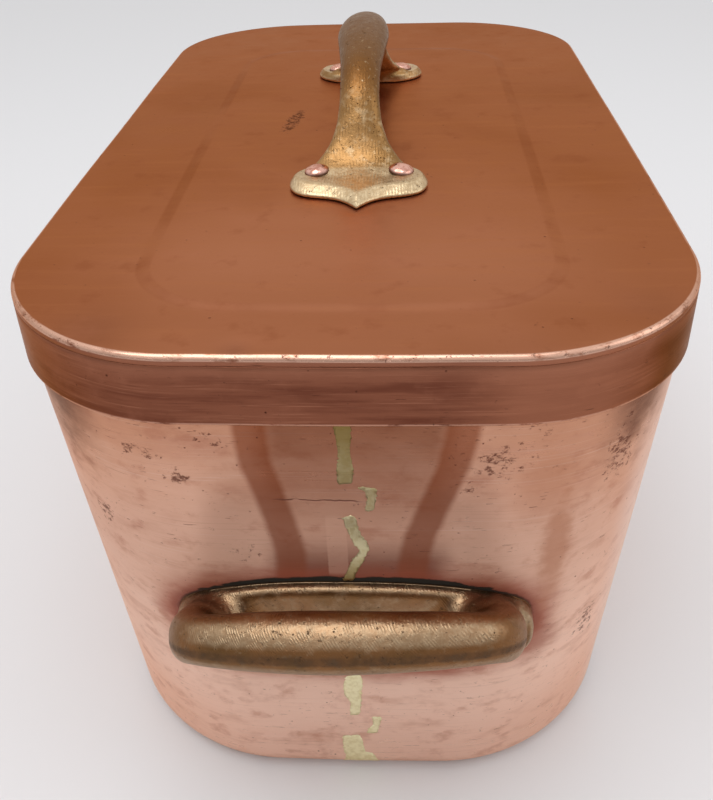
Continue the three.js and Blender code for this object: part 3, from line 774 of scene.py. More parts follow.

# %% [markdown]
# Cast brass comes out of the sand with a grain, is filed on the faces a hand meets, and then
# browns unevenly. Each casting carries two numbers at every point, made with its mesh: how hollow
# the surface is there, for the dirt that gathers, with painted shade under the end grips and a
# painted reflection on the lid handle's top; and how much it was filed, with painted highlights on
# the end grips and plates. The file leaves fine ribs.


# %% Cast brass
def cast_brass(name, base, bright, olive, dark, rib_turn, rib_size, rub):
    """Four colours, the turn and spacing of the file marks, and how bright the high places are."""
    finish = Finish(name)
    grain = finish.grain(1.6, detail=3.0, rough=0.65)
    coarse = finish.grain(5.0, detail=3.0, rough=0.6, shift=3.0)
    cloud = finish.grain(26.0, detail=3.0, rough=0.55, shift=6.0)
    hollow, filed = finish.mark("hollow"), finish.mark("filed")
    # File marks run slanting down across one direction, bent a little by the hand
    turn = finish.x * math.cos(rib_turn) + finish.z * math.sin(rib_turn)
    bend = finish.grain(24.0, detail=1.0, shift=9.0) * 3 + coarse * 0.5
    rib = finish.x.sum("SINE", (turn + bend) * (2 * math.pi / rib_size)) * 0.5 + 0.5
    rib = rib * finish.step(finish.grain(3.0, detail=3.0, rough=0.6, shift=15.0), 0.44, 0.6)
    polish = finish.step(filed + (coarse - 0.5) * 0.5, 0.15, 0.9)
    bite = finish.grain(2.0, 2.6, 1.6, detail=4.0, rough=0.72, shift=2.0)
    pitted = finish.step(bite, 0.58, 0.74).most(pits(finish, 3.4, 0.3, 3.0, 0.13))
    grime_and_shade = finish.step(hollow + (coarse - 0.5) * 0.5, 0.18, 0.8)
    rubbed = finish.step(-hollow + (coarse - 0.5) * 0.5, 0.15, 0.8)
    # Painted reflection: the top of the lid's handle is darker
    painted_dark_top = finish.step(finish.z, 260.0, 276.0)
    colour = finish.over(
        base, (olive, finish.step(cloud, 0.42, 0.62) * 0.7),
        (bright, finish.step(coarse, 0.52, 0.74) * 0.3), (bright, rubbed * rub),
        (bright, polish * (0.5 + rib * 0.25 + finish.step(grain, 0.4, 0.62) * 0.25)),
        (dark, rib * (1 - polish) * 0.12), ((120, 79, 40), painted_dark_top * 0.9), (dark, pitted * 0.7),
        (bright, finish.step(1 - bite, 0.58, 0.72) * 0.3), (dark, grime_and_shade * 0.85))
    rough = 0.4 + (coarse - 0.5) * 0.3 + pitted * 0.2 + grime_and_shade * 0.25 - polish * 0.05
    relief = finish.relief((grain, 0.12), (rib, 0.07), (1 - pitted, 0.18),
                           (finish.grain(14.0, detail=1.0, shift=12.0), 0.3))
    return finish.done(colour, rough, relief, 1 - grime_and_shade * 0.4, edge=(1.0, 0.94, 0.88))


END_BRASS = cast_brass("end_handle_brass", (134, 94, 60), (174, 149, 120), (108, 80, 50),
                       (52, 36, 24), math.radians(45), 0.8, 0.4)
BRIDGE_BRASS = cast_brass("lid_handle_brass", (172, 131, 84), (234, 212, 174), (134, 99, 58),
                          (56, 39, 24), 0.0, 1.3, 0.5)

# %% [markdown]
# The rivets were turned over in soft copper and stand proud, so they are the brightest copper on
# the pan, with a dark line round the foot of each head. The seams were run with a pale spelter, a
# yellow-green brass, and then hammered and filed flush.


# %% Rivets and spelter
def rivet_copper():
    finish = Finish("rivet_copper")
    grain = finish.grain(2.4, detail=3.0, rough=0.6)
    foot = finish.fall(finish.mark("crown") + (grain - 0.5) * 0.3, 0.12, 0.55)
    colour = finish.over((234, 184, 168), ((198, 140, 122), finish.step(grain, 0.42, 0.62)),
                         ((66, 44, 34), foot * 0.8))
    relief = finish.relief((finish.grain(3.2, detail=1.0, shift=2.0), 0.22))
    return finish.done(colour, 0.2 + (grain - 0.5) * 0.25 + foot * 0.3, relief)


def spelter():
    finish = Finish("seam_spelter")
    grain = finish.grain(3.0, detail=3.0, rough=0.6)
    streaks = finish.grain(30.0, 30.0, 0.7, shift=4.0)
    # Painted shade: darker above the handle, and darkest close over it and up under the lid
    above = finish.step(finish.z, 110.0, 124.0)
    painted_darkening = above * 0.32 + above * finish.fall(finish.z, 134.0, 148.0) * 0.5
    painted_darkening = painted_darkening + finish.step(finish.z, 170.0, 184.0) * 0.4
    painted_darkening = painted_darkening + finish.step(finish.z, 184.0, 206.0) * 0.2
    dark = pits(finish, 4.5, 0.3, 1.0, 0.1)
    colour = finish.over((242, 234, 194), ((228, 217, 172), finish.step(grain, 0.42, 0.66)),
                         ((124, 98, 42), painted_darkening), ((92, 70, 46), dark * 0.8))
    relief = finish.relief((streaks, 0.05), (1 - dark, 0.12))
    return finish.done(colour, 0.4 + (grain - 0.5) * 0.2, relief)


RIVET_COPPER, SPELTER = rivet_copper(), spelter()

# %% [markdown]
# The wall is the copper sheet itself: up the outside, over the rim and down the tinned inside.
# Its section runs from the turned-in foot to the rim and back; every row says how far in it
# stands and how high. The tree wraps it round the rim's plan, and then every point moves to the
# wall's plan at its own height.


# %% The wall
def wall_section():
    rim_round = 0.7
    rim, heights = HEIGHT - rim_round, np.arange(18.0, HEIGHT - 2, 6.0)
    outer = np.vstack([
        [[SEAM_INSET, 0.2]], arc(BASE_ROUND, BASE_ROUND + 0.1, BASE_ROUND, 2, 88, 12),
        [[0.0, z] for z in heights], arc(rim_round, rim, rim_round, 90, 180, 3)])
    inner = np.vstack([
        arc(SHEET - rim_round, rim, rim_round, 180, 270, 3), [[SHEET, z] for z in heights[::-1]],
        arc(BASE_ROUND, BASE_ROUND, BASE_ROUND - SHEET, 88, 0, 10), [[SEAM_INSET, SHEET]]])
    return np.vstack([outer, inner]), [0.0] * len(outer) + [1.0] * len(inner)


def leaned(points):
    """Moves points that stand on the rim's plan to the wall's plan at their own height."""
    x, y, z = np.asarray(points, float).T
    flat_x = x - SIDE_BOW / HALF_WIDTH * x * (1 - (y / HALF_LENGTH) ** 2)
    flat_y = y - END_BOW / HALF_LENGTH * y * (1 - np.clip(x / HALF_WIDTH, -1, 1) ** 2)
    far_x, far_y = np.abs(flat_x), np.abs(flat_y)
    half_x, half_y, radius = wall_plan(z)
    old_x, old_y = HALF_WIDTH - CORNER, HALF_LENGTH - CORNER
    new_x, new_y = half_x - radius, half_y - radius
    turn = np.arctan2(far_y - old_y, far_x - old_x)
    reach = np.hypot(far_x - old_x, far_y - old_y) + radius - CORNER
    in_x, in_y = far_x > old_x, far_y > old_y
    to_x = np.where(in_y, far_x * new_x / old_x, far_x + half_x - HALF_WIDTH)
    to_y = np.where(in_y, far_y + half_y - HALF_LENGTH, far_y * new_y / old_y)
    to_x = np.where(in_x & in_y, new_x + reach * np.cos(turn), to_x) * np.sign(x)
    to_y = np.where(in_x & in_y, new_y + reach * np.sin(turn), to_y) * np.sign(y)
    return np.column_stack([to_x + SIDE_BOW * to_x / half_x * (1 - (to_y / half_y) ** 2),
                            to_y + END_BOW * to_y / half_y * (1 - (to_x / half_x) ** 2), z])


wall_mesh = wrapped("wall", *wall_section(), 0.0, WALL_COPPER)
settle(wall_mesh, leaned(points_of(wall_mesh)))
piece("copper_wall", wall_mesh, WALL_COPPER, "pan", "pan_copper", "pan_wall")

# %% [markdown]
# The bottom is a flat sheet that meets the wall's turned-in foot. Its rings shrink to a line down
# the middle, so that the faces stay even in size, and the upper side is marked as tinned.

# %% The bottom
SPINE, INNERMOST, BOTTOM_COUNT = 0.45, 0.985, 300


def shrunk(ring, share):
    """A ring drawn in towards a short line along the pan's length."""
    centre = np.array([0.0, ring[:, 1].mean()])
    along = ring[:, 1] - centre[1]
    long_half = np.abs(along).max() * SPINE
    target = np.column_stack([np.zeros(len(ring)), np.clip(along, -long_half, long_half) * 0.9])
    return centre + target * share + (ring - centre) * (1 - share)


outline = plan(*wall_plan(0.0, SEAM_INSET + 0.05), count=BOTTOM_COUNT)
shares = np.linspace(0, INNERMOST, 14)
under = [at_height(shrunk(outline, share), 0.2) for share in shares[::-1]]
upper = [at_height(shrunk(outline, share), SHEET) for share in shares]
on_top = np.r_[np.zeros(len(under) * BOTTOM_COUNT), np.ones(len(upper) * BOTTOM_COUNT), 0.0, 1.0]
bottom = mesh_of(*skin(under + upper), lining=on_top)
piece("copper_bottom", bottom, WALL_COPPER, "pan", "pan_copper", "pan_bottom")

# %% [markdown]
# The lid's top is the most looked-at surface. Its rings start under the middle, run out to the
# turned edge, over the round arris and back to the middle, climbing the low raised panel on the
# way. Three numbers go with each ring, for the finish: where the arris is, where the panel's
# slope is, and which side is tinned.

# %% Rings of the lid's top
LID_COUNT = 420
EDGE_LEVEL = LID_TOP - TURNED_EDGE
OUTSIDE, INSIDE = 0.0, 1.0


def lid_plan(inset):
    grow = LID_REACH - inset
    return plan(HALF_WIDTH + grow, HALF_LENGTH + grow, CORNER + grow, count=LID_COUNT)


def panel_plan(grow):
    return plan(PANEL_HALF[0] + grow, PANEL_HALF[1] + grow, PANEL_CORNER + grow, -PANEL_FORWARD,
                LID_COUNT)


def lid_surface(level, side):
    """Rings of one side of the sheet from the arris to the middle, with their marks."""
    edge, panel, inner = lid_plan(ARRIS), panel_plan(PANEL_SLOPE / 2), panel_plan(-PANEL_SLOPE / 2)
    rows = [(at_height(edge * (1 - s) + panel * s, level), 0.0, 0.0, side)
            for s in np.linspace(0, 1, 14)[1:-1]]
    for s in np.linspace(0, 1, 7):
        rise = PANEL_RISE * (3 * s * s - 2 * s ** 3)
        slope = panel_plan(PANEL_SLOPE * (0.5 - s))
        rows.append((at_height(slope, level + rise), 0.0, float(0 < s < 0.9), side))
    return rows + [(at_height(shrunk(inner, s), level + PANEL_RISE), 0.0, 0.0, side)
                   for s in np.linspace(0, INNERMOST, 20)[1:]]


def lid_top_rows():
    """All rings, each with how bright its arris is, its panel line and its side."""
    rows = lid_surface(LID_TOP - LID_SHEET, INSIDE)[::-1]
    for inset, z in arc(ARRIS, LID_TOP - ARRIS, ARRIS - LID_SHEET, 180, 90, 4):
        rows.append((at_height(lid_plan(inset), z), 0.0, 0.0, INSIDE))
    for inset, above, side in ((LID_SHEET, 0.05, INSIDE), (0.12, 0.05, OUTSIDE),
                               (0.0, 0.2, OUTSIDE)):
        rows.append((at_height(lid_plan(inset), EDGE_LEVEL + above), 0.0, 0.0, side))
    for inset, z in arc(ARRIS, LID_TOP - ARRIS, ARRIS, 90, 180, 9):
        # The arris is rubbed bright, with a painted highlight along it
        rubbed_and_highlit = float(LID_TOP - ARRIS + 0.3 < z < LID_TOP - 0.06)
        rows.append((at_height(lid_plan(inset), z), rubbed_and_highlit, 0.0, OUTSIDE))
    return rows + lid_surface(LID_TOP, OUTSIDE)


print("rings of the lid ready")

# %% [markdown]
# Dents are pushed in one by one: the front edge has one left of the middle, and the sheet has sunk a
# little. Slow waves go with them. Both fade out under the feet of the handle, which sit flat.

# %% The lid's top
# Each dent: its middle x, y and z, its reach, and the push at its middle
DENTS = [(-34.0, -226.0, 232.0, 9.0, (0.0, 0.9, -0.7)),
         (-40.0, -227.0, 222.0, 22.0, (0.0, 0.35, 0.0)),
         (60.0, -226.0, 233.0, 26.0, (0.0, 0.3, -0.35)),
         (12.0, -226.0, 234.0, 30.0, (0.0, 0.1, -0.2)),
         (-85.0, -214.0, 233.0, 24.0, (0.1, 0.3, -0.4)),
         (100.0, -196.0, 233.0, 20.0, (-0.25, 0.2, -0.3)),
         (0.0, -150.0, 235.0, 60.0, (0.0, 0.0, -0.3)), (90.0, 60.0, 235.0, 60.0, (0.0, 0.0, -0.25)),
         (-95.0, 10.0, 235.0, 70.0, (0.0, 0.0, -0.3)), (20.0, 170.0, 235.0, 50.0, (0.0, 0.0, -0.2))]
FOOT_MIDDLE, FOOT_REACH = 92, (36, 32)


def beaten(points, share=1.0):
    """Pushes every dent into the points, and adds the slow waves of a sheet flattened by hand."""
    push = np.zeros_like(points)
    for x, y, z, reach, by in DENTS:
        far = np.linalg.norm(points - (x, y, z), axis=1) / reach
        push += np.exp(-far ** 2 * 2)[:, None] * np.array(by)
    x, y, z = points.T
    wave = np.sin(x / 31 + 1.3) * np.sin(y / 37 + 0.4) + 0.6 * np.sin(x / 17 + y / 23)
    push[:, 2] += (wave * 0.1 - 0.16) * ramp(z, LID_TOP - 3, 2)
    return points + push * share


rows = lid_top_rows()
points, faces = skin([ring for ring, *_ in rows])
marks = np.array([row_marks for _, *row_marks in rows]).repeat(LID_COUNT, 0)
arris, panel_line, lining = np.vstack([marks, marks[0], marks[-1]]).T
off_foot = np.ones(len(points))
for end in (-1, 1):
    far = np.hypot(points[:, 0] / FOOT_REACH[0], (points[:, 1] - end * FOOT_MIDDLE) / FOOT_REACH[1])
    off_foot *= ramp(far, 0.85, 0.5)
points = beaten(points, off_foot[:, None])
lid_sheet = mesh_of(points, faces, arris=arris, panel_line=panel_line, lining=lining)
piece("lid_sheet", lid_sheet, LID_COPPER, "lid", "lid_copper", "lid_top")

# %% [markdown]
# The skirt is a band of the same sheet, so the tree that wrapped the wall wraps it too. Its lower
# lip is rounded by wear. It takes the same dents as the top, so that the two stay together.

# %% The lid's skirt
lip, top_edge, lip_round = LID_TOP - SKIRT, EDGE_LEVEL - 0.03, 0.7
levels = np.arange(lip + 3, top_edge - 1, 3.0)
skirt_section = np.vstack([
    arc(lip_round, lip + lip_round, lip_round, 0, 90, 4), [[0.0, z] for z in levels],
    [[0.0, top_edge - 0.15], [0.12, top_edge], [LID_SHEET, top_edge]],
    [[LID_SHEET, z] for z in levels[::-1]], [[LID_SHEET, lip + 0.3], [1.2, lip]]])
inside = skirt_section[:, 0] > 1.25
skirt = wrapped("skirt", skirt_section, inside, LID_REACH, LID_COPPER, step=2.6, ripple=0.3)
settle(skirt, beaten(points_of(skirt)))
for name in ("arris", "panel_line"):
    note(skirt, name, np.zeros(len(skirt.vertices)))
piece("lid_skirt", skirt, LID_COPPER, "lid", "lid_copper", "lid_band")

# %% [markdown]
# The wall's two edges are cut into tabs that mesh, and the zigzag joint is run with spelter. Once
# the joint is hammered and filed, the brass shows only where it was thick. Each showing patch is
# drawn here as a ragged outline, filled with small triangles and laid on the wall a hair proud.

# %% Spelter that shows in the wall seam
PATCH_PITCH, PATCH_SHAKE, PATCH_GRID = 0.8, 0.175, 1.3
PATCH_PROUD, PATCH_DEPTH = 0.12, 0.8
# Outlines as x and height, from the lid down to the base, and last the part that the lid hides
PATCHES = [
    [(-3.6, 207.5), (2.0, 207.5), (2.2, 204), (1.6, 197), (1.4, 193.6), (2.6, 187), (1.7, 180.6),
     (-3.2, 180.2), (-3.6, 186), (-2.7, 192), (-2.6, 196), (-3.4, 203)],
    [(3.5, 179.2), (10.4, 178.4), (10.0, 174), (9.1, 167.4), (5.6, 167.2), (6.6, 172), (6.3, 177),
     (3.6, 178.3)],
    [(-2.4, 164.4), (2.4, 164.8), (3.3, 158), (6.4, 151), (7.2, 148), (6.4, 145.6), (4.4, 141),
     (1.8, 135), (0.8, 130.5), (-3.4, 130.5), (-1.8, 136), (0.6, 142.5), (3.6, 146.8), (1.0, 151),
     (-0.6, 157), (-2.0, 162)],
    [(-4.4, 71), (2.0, 72), (2.6, 66), (1.9, 60), (1.6, 52), (0.9, 44), (-3.6, 43), (-3.2, 52),
     (-5.4, 58), (-5.9, 64)],
    [(6.2, 42.2), (10.4, 42), (9.4, 36), (8.2, 30), (3.2, 29.8), (4.0, 33), (6.4, 36)],
    [(-7.6, 27), (0.6, 28), (1.6, 22), (2.4, 15), (6.4, 13.4), (8.2, 8), (9.0, 4.5), (-8.6, 4.5),
     (-6.4, 10), (-7.6, 18)],
    [(-3.0, 217), (2.0, 217), (2.2, 207.5), (-3.6, 207.5)],
]


def ragged(outline, seed):
    """An outline with evenly spaced points, each shaken a little."""
    points = along_outline(np.asarray(outline, float),
                           lambda length: np.arange(0, length, PATCH_PITCH))
    soft = sum(np.roll(points, k, 0) for k in (-1, 0, 1)) / 3
    return soft + np.random.default_rng(seed).normal(0, PATCH_SHAKE, points.shape)


def patch_on_wall(outline, seed):
    """A closed sliver with a ragged outline that lies on the front wall."""
    edge = ragged(outline, seed)
    columns, rows = (np.arange(low, high, PATCH_GRID)
                     for low, high in zip(edge.min(0), edge.max(0)))
    spots = [Vector(spot) for spot in (*edge, *((x, z) for x in columns for z in rows))]
    flat, _, triangles, *_ = delaunay_2d_cdt(spots, [], [list(range(len(edge)))], 1, 1e-4)
    x, z = np.array([(spot.x, spot.y) for spot in flat]).T
    sides = [np.column_stack([x, -end_wall(x, z) + by, z]) for by in (-PATCH_PROUD, PATCH_DEPTH)]
    count, faces, rim = len(x), [], {}
    for a, b, c in triangles:
        faces += [(a, b, c), (c + count, b + count, a + count)]
        rim.update({(a, b): None, (b, c): None, (c, a): None})
    faces += [(j, i, i + count, j + count) for i, j in rim if (j, i) not in rim]
    return np.vstack(sides), faces


seam = mesh_of(*joined(patch_on_wall(outline, seed) for seed, outline in enumerate(PATCHES, 1)))
piece("wall_seam_spelter", seam, SPELTER, "pan", "braze", "wall_seam_braze")

# %% [markdown]
# The joint round the base keeps its zigzag. That is a path with a rule, so a second small tree
# does it: the mesh it is given is the zigzag line, which it resamples, shakes, and sweeps with a
# flat section.


# %% Spelter in the base seam
def seam_tree(material):
    graph, given, known = new_tree("seam_along_line", "Line",
                                   ("Seam width", "Seam depth", "Step", "Shake", "Seed"), "Seam")
    line = graph.node("GeometryNodeMeshToCurve", inputs={0: given})
    line = resampled(graph, line, given.out("Step"))
    noise = graph.node("ShaderNodeTexNoise", {"noise_dimensions": "4D"},
                       {"Scale": 160.0, "Detail": 2.0, "W": given.out("Seed")})
    line = shaken(graph, line, noise, given.out("Shake"), LEVEL)
    strip = graph.node("GeometryNodeCurvePrimitiveQuadrilateral", {"mode": "RECTANGLE"},
                       {0: given.out("Seam width"), 1: given.out("Seam depth")})
    seam = graph.node("GeometryNodeCurveToMesh", inputs={"Curve": line, "Profile Curve": strip})
    end_tree(graph, seam, material)
    return graph, known


TRACK_COUNT, KEEP_EVERY, TAB_PITCH, TAB_REACH, TAB_STEEPNESS = 1600, 4, 31, 4, 5
track = plan(*wall_plan(0.0, SEAM_INSET), count=TRACK_COUNT)
ahead = np.roll(track, -1, 0) - np.roll(track, 1, 0)
across = np.column_stack([ahead[:, 1], -ahead[:, 0]]) / np.linalg.norm(ahead, axis=1)[:, None]
tabs = round(np.linalg.norm(np.diff(track, axis=0), axis=1).sum() / TAB_PITCH)
wave = np.sin(np.arange(TRACK_COUNT) / TRACK_COUNT * tabs * 2 * math.pi)
wave = np.clip(wave * TAB_STEEPNESS, -1, 1) * TAB_REACH
zigzag = closed_line("zigzag", at_height(track + across * wave[:, None], 0.25)[::KEEP_EVERY] / 1000)
base_seam = grown("base_seam", zigzag, *seam_tree(SPELTER), {
    "Seam width": 0.0042, "Seam depth": 0.0004, "Step": 0.0012, "Shake": 0.002, "Seed": 4.0})
piece("base_seam_spelter", base_seam, SPELTER, "pan", "braze", "base_seam_braze")

# %% [markdown]
# The handles are castings, and their grips swell and narrow along a curve. Each grip is drawn as a
# few stations, every one with its place and the half sizes of an oval. A smooth curve through the
# stations then gives as many ovals as the skin needs.


# %% Curves through stations
def through(stations, shares):
    """Points on a smooth curve through stations, which bends no more than it has to."""
    stations, made, tiny = np.asarray(stations, float), [], 1e-4
    for share in shares:
        place = (len(stations) - 1) * share
        i = min(int(place), len(stations) - 2)
        w = place - i
        p1, p2 = stations[i], stations[i + 1]
        p0 = stations[i - 1] if i else 2 * p1 - p2
        p3 = stations[i + 2] if i + 2 < len(stations) else 2 * p2 - p1
        gaps = [np.linalg.norm(b - a) ** 0.5 for a, b in ((p0, p1), (p1, p2), (p2, p3))]
        d1 = gaps[1] if gaps[1] > tiny else 1.0
        d0, d2 = (gap if gap > tiny else d1 for gap in gaps[::2])
        t1 = ((p1 - p0) / d0 - (p2 - p0) / (d0 + d1) + (p2 - p1) / d1) * d1
        t2 = ((p2 - p1) / d1 - (p3 - p1) / (d1 + d2) + (p3 - p2) / d2) * d1
        made.append(p1 + t1 * w + (-3 * p1 + 3 * p2 - 2 * t1 - t2) * w ** 2
                    + (2 * p1 - 2 * p2 + t1 + t2) * w ** 3)
    return np.array(made)


def full_oval(half_x, half_z, fullness, count):
    """Points round an oval. A fullness of 2 makes an ellipse, and more fills its corners."""
    turn = np.arange(count) * 2 * math.pi / count
    return np.stack([half * np.sign(way) * np.abs(way) ** (2 / fullness)
                     for half, way in ((half_x, np.cos(turn)), (half_z, np.sin(turn)))], 1)


def oval_sweep(path, sizes, across, steps, sides, fullness):
    """Rings of ovals along a path that lies square to the direction across."""
    shares = np.linspace(0, 1, steps + 1)
    centres, halves = through(path, shares), through(sizes, shares)
    before, after = (through(path, np.clip(shares + by, 0, 1)) for by in (-1e-4, 1e-4))
    within = np.cross(after - before, across)
    within /= np.linalg.norm(within, axis=1)[:, None]
    wide, deep = full_oval(1, 1, fullness, sides).T
    return [centre + np.outer(wide * half[0], across) + np.outer(deep * half[1], way)
            for centre, half, way in zip(centres, halves, within)]


def both_ways(half, mirror):
    """Stations up to the middle one, and their mirror images after it."""
    half = [np.asarray(v, float) for v in half]
    return half + [v * mirror for v in half[-2::-1]]


print("curves ready")

# %% [markdown]
# A casting's separate shapes meet in one skin, with a soft fillet where they join. They are the same
# few closed forms as the frame's, finer, and a voxel remesh fuses them. After that only the hollow
# places are relaxed, which fills the corners as a pattern maker's wax fillet does.


# %% Casting helpers
def averaged(values, pairs):
    """Each point's mean of its neighbours."""
    total, number = np.zeros_like(values), np.zeros(len(values))
    for a, b in ((0, 1), (1, 0)):
        np.add.at(total, pairs[:, a], values[pairs[:, b]])
        np.add.at(number, pairs[:, a], 1)
    return total / np.maximum(number, 1)[:, None]


def cast(shapes, voxel, fillet_rounds, soft_rounds):
    """Fuses closed shapes, and gives the mesh, its points in millimetres, normals and links."""
    mesh = mesh_of(*joined(shapes))
    if volume_of(mesh) < 0:
        mesh.flip_normals()
    holder = in_scene("casting", mesh)
    fuse = holder.modifiers.new("fuse", "REMESH")
    fuse.mode, fuse.voxel_size = "VOXEL", voxel / 1000
    made = made_plain(holder)
    points, pairs = points_of(made), read(made.edges, "vertices", 2, np.int32)
    for _ in range(soft_rounds):
        points += (averaged(points, pairs) - points) * 0.5
    for round_number in range(fillet_rounds):
        if round_number % 6 == 0:
            settle(made, points)
            normals = read(made.vertices, "normal")
        pull = averaged(points, pairs) - points
        outwards = np.einsum("ij,ij->i", pull, normals)
        points += pull * ramp(outwards, 0, 0.01)[:, None] * 0.8
    return made, points, normals.astype(float), pairs


def hollows(mesh, points, pairs):
    """How hollow the skin is at each point: above 0 in a corner, below 0 on an edge."""
    rounds, full_hollow = 14, 0.5
    soft = points
    for _ in range(rounds):
        soft = averaged(soft, pairs)
    depth = np.einsum("ij,ij->i", soft - points, read(mesh.vertices, "normal"))
    return np.clip(depth / full_hollow, -1, 1)


print("casting helpers ready")

# %% [markdown]
# An end handle is a thick oval plate with a bowed grip that rises away from the wall. The plate
# is drawn as a full oval; its back is pressed to the shape of the wall by moving the points that
# would stand in it. The grip is slightly crooked. The rear handle is the same casting, turned
# half a turn.

# %% The end handles
PLATE_FACE = 5.3
GRIP_TILT, GRIP_TURN, GRIP_ASIDE = math.radians(44), math.radians(1.8), 1.2


def plate_shape():
    rings = []
    for inset, y in [(0, 12.0), (0, -PLATE_FACE + 2.6), (0.7, -PLATE_FACE + 1.7),
                     (2.0, -PLATE_FACE + 0.7), (3.8, -PLATE_FACE)]:
        x, z = full_oval(PLATE_HALF[0] - inset, PLATE_HALF[1] - inset, PLATE_FULLNESS, 180).T
        rings.append(np.column_stack([x, np.full(len(x), y), z]))
    return skin(rings)


def grip_shape():
    thick, deep, side, reach = 9.7, 11.2, 67.0, 47.0
    outwards = np.array([0, -math.cos(GRIP_TILT), math.sin(GRIP_TILT)])
    across = np.array([0, math.sin(GRIP_TILT), math.cos(GRIP_TILT)])
    # Each station: how far aside and how far out, and half the grip's size across and along
    stations = [
        (side - 1.75 * thick, -PLATE_FACE, 1.45 * deep, 1.8 * thick),
        (side - 1.8 * thick, PLATE_FACE, 1.38 * deep, 1.75 * thick),
        (side - 1.4 * thick, 0.3 * reach, 1.2 * deep, 1.42 * thick),
        (side - 1.05 * thick, 0.55 * reach, 0.98 * deep, 1.03 * thick),
        (side - 1.55 * thick, 0.79 * reach, 0.84 * deep, 0.9 * thick),
        (0.47 * side, 0.94 * reach, 0.93 * deep, 0.96 * thick),
        (0, reach, deep, thick)]
    path = both_ways([outwards * out + (-x, 0, 0) for x, out, _, _ in stations], (-1, 1, 1))
    sizes = both_ways([(a, w, 0) for _, _, a, w in stations], (1, 1, 1))
    crooked = np.array(Matrix.Rotation(-GRIP_TURN, 3, "Y"))
    return skin([ring @ crooked.T - (GRIP_ASIDE, 0, 0)
                 for ring in oval_sweep(path, sizes, across, 90, 40, 2.15)])


def wear_and_painted_light(mesh, points, placed, normals, turned, pairs, pressed):
    """Notes where the grip and plate were filed or rubbed and where dirt gathers, with painted
    highlights on the grip's upper front and the plate's rim and face, and painted shade under the
    grip.
    """
    reach = -points[:, 1] * math.cos(GRIP_TILT) + points[:, 2] * math.sin(GRIP_TILT)
    on_grip = ramp(reach, 16, 14)
    # The hand and the file meet the grip's upper front, which also carries a painted highlight
    up_front = np.degrees(np.arctan2(turned[2], -turned[1]))
    filed = ramp(up_front, 30, 14) * ramp(up_front, 112, -44) * on_grip
    filed *= ramp(np.abs(normals[:, 0]), 0.8, -0.5)
    # Painted highlight: the plate's rim and the upper part of its face are lighter
    flank = np.hypot(points[:, 0] / PLATE_HALF[0], points[:, 2] / PLATE_HALF[1])
    rim = ramp(flank, 0.84, 0.06) * (points[:, 1] < 2) * ramp(normals[:, 1], -0.9, 0.2)
    lower_edge = ramp(up_front, 2, -10) * ramp(up_front, -80, 12) * on_grip
    face = ramp(-normals[:, 1], 0.9, 0.08) * (1 - on_grip) * (points[:, 2] > 0)
    wear_and_highlight = [filed, 1.2 * rim * (1 - on_grip), 0.55 * lower_edge, 0.45 * face]
    # Painted shade under the grip, and a painted reflection of the wall on its inner top
    under = ramp(up_front, 38, -16) * ramp(up_front, -4, 12) * on_grip
    inner = ramp(up_front, 100, 40) * on_grip
    hollow = np.maximum(hollows(mesh, placed, pairs) + 0.08 * inner, 0.52 * under)
    note(mesh, "hollow", np.where(pressed, 0.6, hollow))
    note(mesh, "filed", np.maximum.reduce(wear_and_highlight))


def end_handle():
    mesh, points, normals, pairs = cast([plate_shape(), grip_shape()], 0.8, 130, 3)
    lean_in = np.array(Matrix.Rotation(WALL_TILT, 3, "X"))
    foot = np.array([0.0, -float(end_wall(0.0, HANDLE_HEIGHT)), HANDLE_HEIGHT])
    placed = points @ lean_in.T + foot
    phase = np.random.default_rng(11).uniform(0, 6, 6)
    x, z = points[:, 0], points[:, 2]
    swell = np.sin(x / 9 + phase[0]) * np.sin(z / 8 + phase[1]) + np.sin(x / 17 + z / 13 + phase[2])
    placed -= normals @ lean_in.T * (0.25 + 0.25 * (0.22 * swell / 0.44))[:, None]
    wall = -end_wall(placed[:, 0], placed[:, 2]) - 0.06
    pressed = placed[:, 1] > wall
    placed[pressed, 1] = wall[pressed]
    settle(mesh, placed)
    wear_and_painted_light(mesh, points, placed, normals, lean_in @ normals.T, pairs, pressed)
    return mesh


front = end_handle()
rear = front.copy()
rear.transform(Matrix.Rotation(math.pi, 4, "Z"))
piece("front_handle_casting", front, END_BRASS, "pan", "cast_brass", "front_handle")
piece("rear_handle_casting", rear, END_BRASS, "pan", "cast_brass", "rear_handle")

# %% [markdown]
# The lid's handle is a bridge on two bracket-shaped feet. Each foot's outline is half drawn with
# four Bezier curves and mirrored. The filed bevel round the toe is broad, and narrows beside the
# rivets.

# %% The lid's handle
TOE, FOOT_LENGTH, EAR, FOOT_THICK, FOOT_BEVEL = 115.5, 44.0, 30.2, 4.6, 6.5
HEEL, RIVET_X, RIVET_Y = TOE - FOOT_LENGTH, 18.5, 84.0


def bezier(*corners):
    """Sixteen points on a curve from its first to its last corner, without the first."""
    t = np.linspace(0, 1, 17)[1:, None]
    a, b, c, d = (np.array(corner, float) for corner in corners)
    return (1 - t) ** 3 * a + 3 * (1 - t) ** 2 * t * b + 3 * (1 - t) * t ** 2 * c + t ** 3 * d


